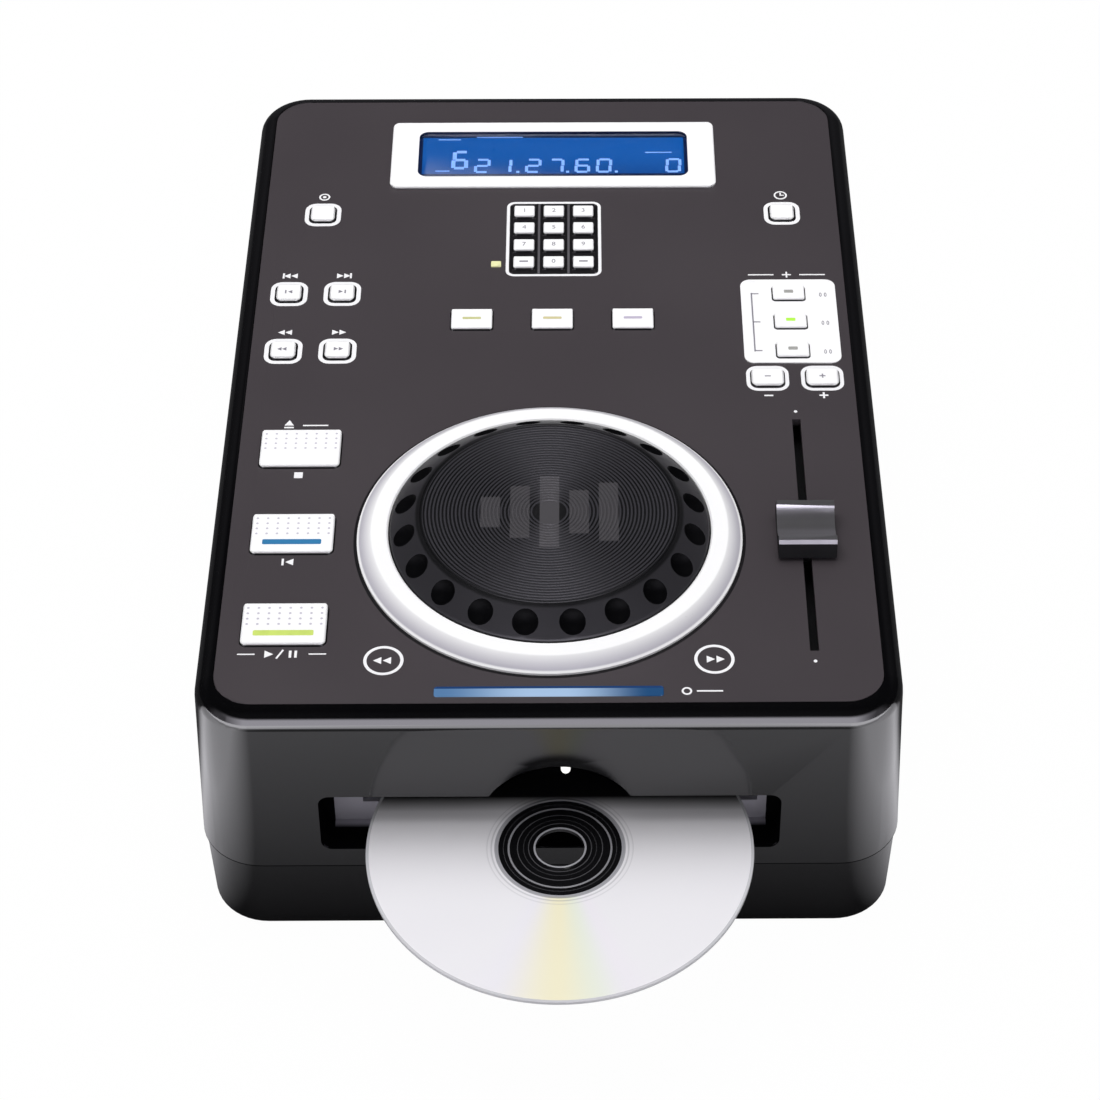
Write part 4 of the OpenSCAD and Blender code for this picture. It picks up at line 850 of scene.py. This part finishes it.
wheel_low, wheel_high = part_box("jog_platter")
wheel_r = (wheel_high.x - wheel_low.x) / 2
wheel_top = wheel_high.z
flat_r = 42.0 * mm
lip_z = panel_z + 4.6 * mm
groove_pitch = 1.2 * mm
groove_deep = 0.35 * mm
groove_count = 30
outline = [(0.0, wheel_top - groove_deep)]
for step in range(groove_count):
    r = 5.2 * mm + step * groove_pitch
    outline += [
        (r, wheel_top - groove_deep), (r + 0.25 * groove_pitch, wheel_top),
        (r + 0.65 * groove_pitch, wheel_top), (r + 0.9 * groove_pitch, wheel_top - groove_deep)
    ]
outline += [
    (flat_r - 0.6 * mm, wheel_top), (flat_r + 0.2 * mm, wheel_top - 0.25 * mm), (wheel_r - 0.5 * mm, lip_z + 0.3 * mm),
    (wheel_r, lip_z - 0.4 * mm), (wheel_r, wheel_low.z + 4 * mm), (wheel_r - 2.5 * mm, wheel_low.z + 4 * mm),
    (wheel_r - 2.5 * mm, panel_z + 1.5 * mm), (flat_r - 4 * mm, wheel_top - 4.5 * mm),
    (12 * mm, wheel_top - 4.5 * mm), (12 * mm, wheel_low.z), (4.05 * mm, wheel_low.z), (4.05 * mm, panel_z + 6.8 * mm),
    (0.0, panel_z + 6.8 * mm)
]
wheel = lathe("jog_wheel_top", jog_x, jog_y, outline, steps=120)
dimples = 20
ball_r = 5.1 * mm
ball_out = 2.9 * mm
slope_foot = panel_z + 4.3 * mm
out_of_slope = Vector((wheel_top - slope_foot, wheel_r - flat_r)).normalized() * ball_out
r = (wheel_r + flat_r) / 2 + out_of_slope.x
z = (wheel_top + slope_foot) / 2 + out_of_slope.y
balls = []
ball_places = []
for step in range(dimples):
    turn = (step + 0.5) * 2 * pi / dimples - pi / 2
    ball_places.append(Vector((jog_x + r * cos(turn), jog_y + r * sin(turn), z)))
    select_none()
    bpy.ops.mesh.primitive_uv_sphere_add(segments=28, ring_count=14, radius=ball_r, location=ball_places[-1])
    balls.append(apply_place(bpy.context.object))
cut(wheel, balls)
shade(wheel, 28)
wheel.data.materials.clear()

wheel_black, shader, colours = start_material(
    "wheel_black", (0.007, 0.007, 0.008), (0.011, 0.011, 0.012), 0.34, 0.46, grain=1400, patch=40, bump=0.05
)
tree = wheel_black.node_tree
place = coordinates(tree)
bar_pitch = 9.4 * mm
bar_half_w = 3.1 * mm
bars = 0.0
for step, tall in enumerate((14, 24, 33, 20, 27)):
    bar = product(tree, maths(tree, "COMPARE", place["X"], jog_x + (step - 2) * bar_pitch, bar_half_w),
                  maths(tree, "COMPARE", place["Y"], jog_y, tall / 2 * mm))
    bars = maths(tree, "MAXIMUM", bars, bar)
on_top = maths(tree, "GREATER_THAN", place["Z"], wheel_top - 0.9 * mm)
ridge_highlights = product(tree, maths(tree, "GREATER_THAN", place["Z"], wheel_top - 0.1 * mm),
                 maths(tree, "SUBTRACT", 1.0, radius_mask(tree, jog_x, jog_y, 40.4 * mm, 40.5 * mm)))
slope_highlight = radius_mask(tree, jog_x, jog_y, flat_r + 0.3 * mm, flat_r + 0.9 * mm)
# Painted highlights: the tops of the groove ridges and the slope round the flat are lighter; the bars are print
colours = tint(tree, ridge_highlights, colours, (0.036, 0.035, 0.041))
colours = tint(tree, slope_highlight, colours, (0.026, 0.025, 0.029))
colours = tint(tree, product(tree, bars, on_top), colours, (0.066, 0.063, 0.069))
fill(shader, {"Base Color": colours})
# Painted shade: the dimples are nearer black than the wheel, with almost no gloss
dimple_painted_shade, shader, colours = start_material(
    "dimple_painted_shade", (0.002, 0.002, 0.0025), (0.004, 0.004, 0.0045), 0.4, 0.5, grain=1400, patch=40, bump=0.05
)
fill(shader, {"Specular IOR Level": 0.03})
wheel.data.materials.append(wheel_black)
wheel.data.materials.append(dimple_painted_shade)
for face in wheel.data.polygons:
    corners = [wheel.data.vertices[i].co for i in face.vertices]
    face.material_index = int(any(
        all(abs((corner - ball).length - ball_r) < 0.08 * mm for corner in corners) for ball in ball_places
    ))
dress(wheel, "jog_platter")

# ---------- Pitch fader ----------
# A metallic knob with a ridge at each end and a hollow for the finger, on a steel fader under a narrow slot.
knob_paint = plain_material(
    "knob_paint", (0.52, 0.51, 0.54), (0.58, 0.57, 0.60), 0.26, 0.36, grain=2600, patch=60, bump=0.05, metallic=0.9
)
knob_side, shader, colours = start_material(
    "knob_side", (0.004, 0.004, 0.0045), (0.007, 0.007, 0.0075), 0.45, 0.55, grain=1800
)
fill(shader, {"Specular IOR Level": 0.12})
knob = shaded_copy("fader_knob", "fader_cap", knob_paint, knob_side, angle=30)
for face in knob.data.polygons:
    face.material_index = int(abs(face.normal.z) < 0.3)
dress(knob, "fader_knob")

# ---------- Disc ----------
# A standard disc: a mirror layer under clear plastic, a clear hub with its moulded rings and painted shade, and a thin
# clear rim.
# Faint colours along its radius are painted on the mirror layer by angle: a painted sheen for the light that it
# breaks.
disc_low, disc_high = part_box("disc")
disc_x, disc_y, disc_top = middle("disc")
disc_under = disc_low.z
disc_r = (disc_high.x - disc_low.x) / 2
silver_in = 19.7 * mm
silver_out = disc_r - 0.9 * mm
hole_r = 7.5 * mm


def disc_bands(tree, soft, bands):
    """From 0 to a share on each band, given as (inner radius, outer radius, share), in mm as soft is."""
    total = 0.0
    for inner, outer, share in bands:
        ends = [radius_mask(tree, disc_x, disc_y, (r - soft) * mm, (r + soft) * mm) for r in (inner, outer)]
        total = maths(tree, "MAXIMUM", total, product(tree, maths(tree, "SUBTRACT", *ends), share))
    return total


mirror_layer, shader, colours = start_material(
    "mirror_layer", (0.88, 0.87, 0.905), (0.90, 0.89, 0.92), 0.34, 0.42, grain=1200, patch=20, bump=0.01,
    metallic=0.06
)
tree = mirror_layer.node_tree
place = coordinates(tree)
turn = maths(tree, "ARCTAN2", maths(tree, "SUBTRACT", place["X"], disc_x),
             maths(tree, "SUBTRACT", disc_y, place["Y"]))
for centre, width, painted_sheen, share in (
    (-0.01, 0.36, (0.95, 0.88, 0.46), 0.60), (0.19, 0.20, (0.70, 0.90, 0.68), 0.25),
    (0.36, 0.16, (0.90, 0.78, 0.92), 0.14), (-0.32, 0.2, (0.84, 0.78, 0.94), 0.12),
    (2.75, 0.2, (0.62, 0.62, 0.85), 0.25), (3.02, 0.14, (0.80, 0.66, 0.62), 0.2), (-2.9, 0.16, (0.6, 0.76, 0.8), 0.25)
):
    off = maths(tree, "ABSOLUTE", maths(tree, "SUBTRACT", turn, centre))
    colours = tint(tree, ramp(tree, off, 0.0, width, share, 0.0, smooth=True), colours, painted_sheen)
grey_rings = disc_bands(tree, 0.1, ((19.5, 20.3, 0.75), (21.0, 21.5, 0.35), (22.4, 22.8, 0.2)))
colours = tint(tree, grey_rings, colours, (0.22, 0.22, 0.25))
# Painted shade: inside the housing the disc's colour goes near black, for the dark it would mirror there
inside_y = shell_low.y + front_lean * (disc_top - seam_z)
housing_painted_shade = ramp(tree, place["Y"], inside_y + 5 * mm, inside_y + 11 * mm)
fill(shader, {"Base Color": tint(tree, housing_painted_shade, colours, (0.004, 0.004, 0.005))})
# Painted shade: the clear hub is tinted near black, for the dark seen through it
hub_with_painted_shade, shader, colours = start_material(
    "hub_with_painted_shade", (0.010, 0.010, 0.012), (0.016, 0.016, 0.018), 0.04, 0.09, bump=0.003
)
tree = hub_with_painted_shade.node_tree
# Frosted rings, whose light grey is also partly a painted highlight on the hub's moulded rings
frosted_rings_and_highlights = disc_bands(tree, 0.05, (
    (7.6, 8.2, 1), (9.6, 9.9, 0.3), (11.2, 11.4, 0.2), (13.0, 13.3, 0.3), (15.6, 16.2, 0.8), (17.4, 17.6, 0.25),
    (19.1, 19.7, 1)
))
fill(shader, {
    "Base Color": tint(tree, frosted_rings_and_highlights, colours, (0.42, 0.42, 0.45)),
    "Transmission Weight": maths(tree, "MULTIPLY_ADD", frosted_rings_and_highlights, -0.55, 0.6)
})

ridge = 0.12 * mm
hub = lathe("disc_hub", disc_x, disc_y, [
    (hole_r, disc_under), (hole_r, disc_top - 0.15 * mm), (hole_r + 0.15 * mm, disc_top), (15.0 * mm, disc_top),
    (15.2 * mm, disc_top - ridge), (16.2 * mm, disc_top - ridge), (16.4 * mm, disc_top), (silver_in, disc_top),
    (silver_in, disc_under), (17.6 * mm, disc_under), (17.4 * mm, disc_under + ridge),
    (16.8 * mm, disc_under + ridge), (16.6 * mm, disc_under), (hole_r, disc_under)
], steps=96)
silver = lathe("disc_silver", disc_x, disc_y, [
    (silver_in, disc_under), (silver_in, disc_top), (silver_out, disc_top), (silver_out, disc_under),
    (silver_in, disc_under)
], steps=144)
rim = lathe("disc_rim", disc_x, disc_y, [
    (silver_out, disc_under), (silver_out, disc_top), (disc_r - 0.15 * mm, disc_top), (disc_r, disc_top - 0.15 * mm),
    (disc_r, disc_under + 0.15 * mm), (disc_r - 0.15 * mm, disc_under), (silver_out, disc_under)
], steps=144)
clear_rim = plain_material("clear_rim", (0.58, 0.58, 0.61), (0.66, 0.66, 0.69), 0.08, 0.16, bump=0.003)
for piece, material in ((hub, hub_with_painted_shade), (silver, mirror_layer), (rim, clear_rim)):
    shade(piece)
    dress(piece, "disc", material)

# ---------- Slot ----------
# Two strips of black felt that keep dust out where the disc goes in.
felt_black = plain_material(
    "felt_black", (0.006, 0.006, 0.007), (0.016, 0.016, 0.018), 0.85, 1.0, grain=5000, patch=900, bump=0.9
)
dress(shaded_copy("slot_felts", "dust_felts", felt_black), "slot_felts")

# ---------- Disc drive and boards ----------
# What works inside: zinc plated sheet, a rubber roller, black turntable and sled, and green circuit boards.
zinc_sheet = plain_material(
    "zinc_sheet", (0.50, 0.51, 0.52), (0.42, 0.43, 0.45), 0.25, 0.42, grain=1500, patch=90, bump=0.08, metallic=1.0
)
ground_steel = plain_material(
    "ground_steel", (0.60, 0.60, 0.61), (0.52, 0.52, 0.53), 0.18, 0.3, grain=3000, patch=200, bump=0.05, metallic=1.0
)
roller_rubber = plain_material(
    "roller_rubber", (0.03, 0.03, 0.032), (0.045, 0.045, 0.045), 0.6, 0.8, grain=2500, bump=0.3
)
moulded_black = plain_material(
    "moulded_black", (0.012, 0.012, 0.013), (0.022, 0.022, 0.024), 0.4, 0.55, grain=2200, patch=40, bump=0.2
)
board_green = plain_material(
    "board_green", (0.012, 0.10, 0.035), (0.02, 0.16, 0.06), 0.28, 0.4, grain=800, patch=180, bump=0.15
)
for material, nodes in (
    (moulded_black, ("fader_body", "turntable", "laser_sled", "jog_encoder")),
    (zinc_sheet, ("drive_chassis", "traverse_frame", "spindle_motor")), (ground_steel, ("jog_spindle",)),
    (roller_rubber, ("loading_roller",)), (board_green, ("control_board", "main_board", "power_supply"))
):
    for node in nodes:
        dress(shaded_copy(node, "inner_" + node, material), node)

# ---------- Rear ----------
# Three phono sockets with nickel barrels and coloured rings on a black strip, the mains inlet with its three
# pins, and a rocker switch marked with a line and a circle.
strip = merged_copy("phono_sockets", "phono_strip")
strip_low, strip_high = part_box("phono_sockets")
strip_face = strip_high.y - 8.0 * mm
open_mesh(strip)
bpy.ops.mesh.bisect(plane_co=(0, strip_face, 0), plane_no=(0, 1, 0), use_fill=False, clear_outer=True)
bpy.ops.object.mode_set(mode="OBJECT")
shade(strip)
dress(strip, "phono_sockets", moulded_black)
nickel = plain_material(
    "nickel", (0.62, 0.60, 0.56), (0.55, 0.53, 0.50), 0.15, 0.28, grain=2500, patch=200, bump=0.04, metallic=1.0
)
socket_rings = {
    -1: plain_material("ring_white", (0.75, 0.75, 0.74), (0.7, 0.7, 0.69), 0.3, 0.45),
    0: plain_material("ring_red", (0.50, 0.02, 0.015), (0.42, 0.02, 0.015), 0.3, 0.45),
    1: plain_material("ring_orange", (0.75, 0.22, 0.02), (0.65, 0.19, 0.02), 0.3, 0.45),
}
socket_pitch = 16.0 * mm
socket_x = (strip_low.x + strip_high.x) / 2
socket_z = (strip_low.z + strip_high.z) / 2
barrel_r = 4.15 * mm
pin_hole_r = 1.6 * mm
barrel_l = 8.0 * mm
for place, ring_colour in socket_rings.items():
    x = socket_x + place * socket_pitch
    turned = Matrix.Translation((x, strip_face, socket_z)) @ Matrix.Rotation(-pi / 2, 4, "X")
    shell = lathe("phono_barrel", 0, 0, [
        (3.3 * mm, 0), (3.3 * mm, barrel_l - 0.3 * mm), (3.5 * mm, barrel_l), (barrel_r - 0.3 * mm, barrel_l),
        (barrel_r, barrel_l - 0.4 * mm), (barrel_r, 5 * mm), (barrel_r - 0.25 * mm, 4.8 * mm),
        (barrel_r - 0.25 * mm, 3.4 * mm), (barrel_r, 3.2 * mm), (barrel_r, 0), (3.3 * mm, 0)
    ], steps=48)
    core = lathe("phono_core", 0, 0, [
        (pin_hole_r, 0), (pin_hole_r, barrel_l - 0.8 * mm), (2.0 * mm, barrel_l - 0.5 * mm),
        (3.3 * mm, barrel_l - 0.5 * mm), (3.3 * mm, 0), (pin_hole_r, 0)
    ], steps=48)
    flange = lathe("phono_ring", 0, 0, [
        (barrel_r, 0), (barrel_r + 2.0 * mm, 0), (barrel_r + 2.0 * mm, 0.7 * mm), (barrel_r + 1.6 * mm, 1.1 * mm),
        (barrel_r, 1.1 * mm), (barrel_r, 0)
    ], steps=48)
    for piece, material in ((shell, nickel), (core, ring_colour), (flange, ring_colour)):
        piece.data.transform(turned)
        shade(piece)
        dress(piece, "phono_sockets", material)

inlet_black = plain_material(
    "inlet_black", (0.012, 0.012, 0.013), (0.02, 0.02, 0.022), 0.35, 0.5, grain=1800, patch=40, bump=0.15
)
inlet = shaded_copy("power_inlet", "mains_inlet", inlet_black, nickel)
inlet_low, inlet_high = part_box("power_inlet")
inlet_x = (inlet_low.x + inlet_high.x) / 2 - 11 * mm
pin_half_w, pin_half_h = 1.05 * mm, 2.05 * mm
for face in inlet.data.polygons:
    side = face.center.x - inlet_x
    rise = face.center.z - socket_z
    for place, drop in ((-7, -2), (0, 2), (7, -2)):
        near_pin = abs(side - place * mm) < pin_half_w and abs(rise - drop * mm) < pin_half_h
        if near_pin and inlet_high.y - 16.9 * mm < face.center.y < inlet_high.y - 1 * mm:
            face.material_index = 1
dress(inlet, "power_inlet")

rocker_x, rocker_y, top = middle("power_rocker")
rocker_black, shader, colours = start_material(
    "rocker_black", (0.012, 0.012, 0.013), (0.02, 0.02, 0.022), 0.25, 0.35, grain=1500, bump=0.06
)
tree = rocker_black.node_tree
place = coordinates(tree)
line = product(tree, maths(tree, "COMPARE", place["X"], rocker_x, 0.35 * mm),
               maths(tree, "COMPARE", place["Z"], socket_z + 5.2 * mm, 1.8 * mm))
from_x = maths(tree, "SUBTRACT", place["X"], rocker_x)
from_z = maths(tree, "SUBTRACT", place["Z"], socket_z - 4.6 * mm)
radius = maths(tree, "SQRT", maths(tree, "ADD", product(tree, from_x, from_x), product(tree, from_z, from_z)))
circle = maths(tree, "COMPARE", radius, 1.6 * mm, 0.3 * mm)
outside = maths(tree, "GREATER_THAN", place["Y"], rocker_y)
printed = product(tree, maths(tree, "MAXIMUM", line, circle), outside)
fill(shader, {"Base Color": tint(tree, printed, colours, (0.75, 0.75, 0.75))})
dress(shaded_copy("power_rocker", "mains_rocker", rocker_black), "power_rocker")
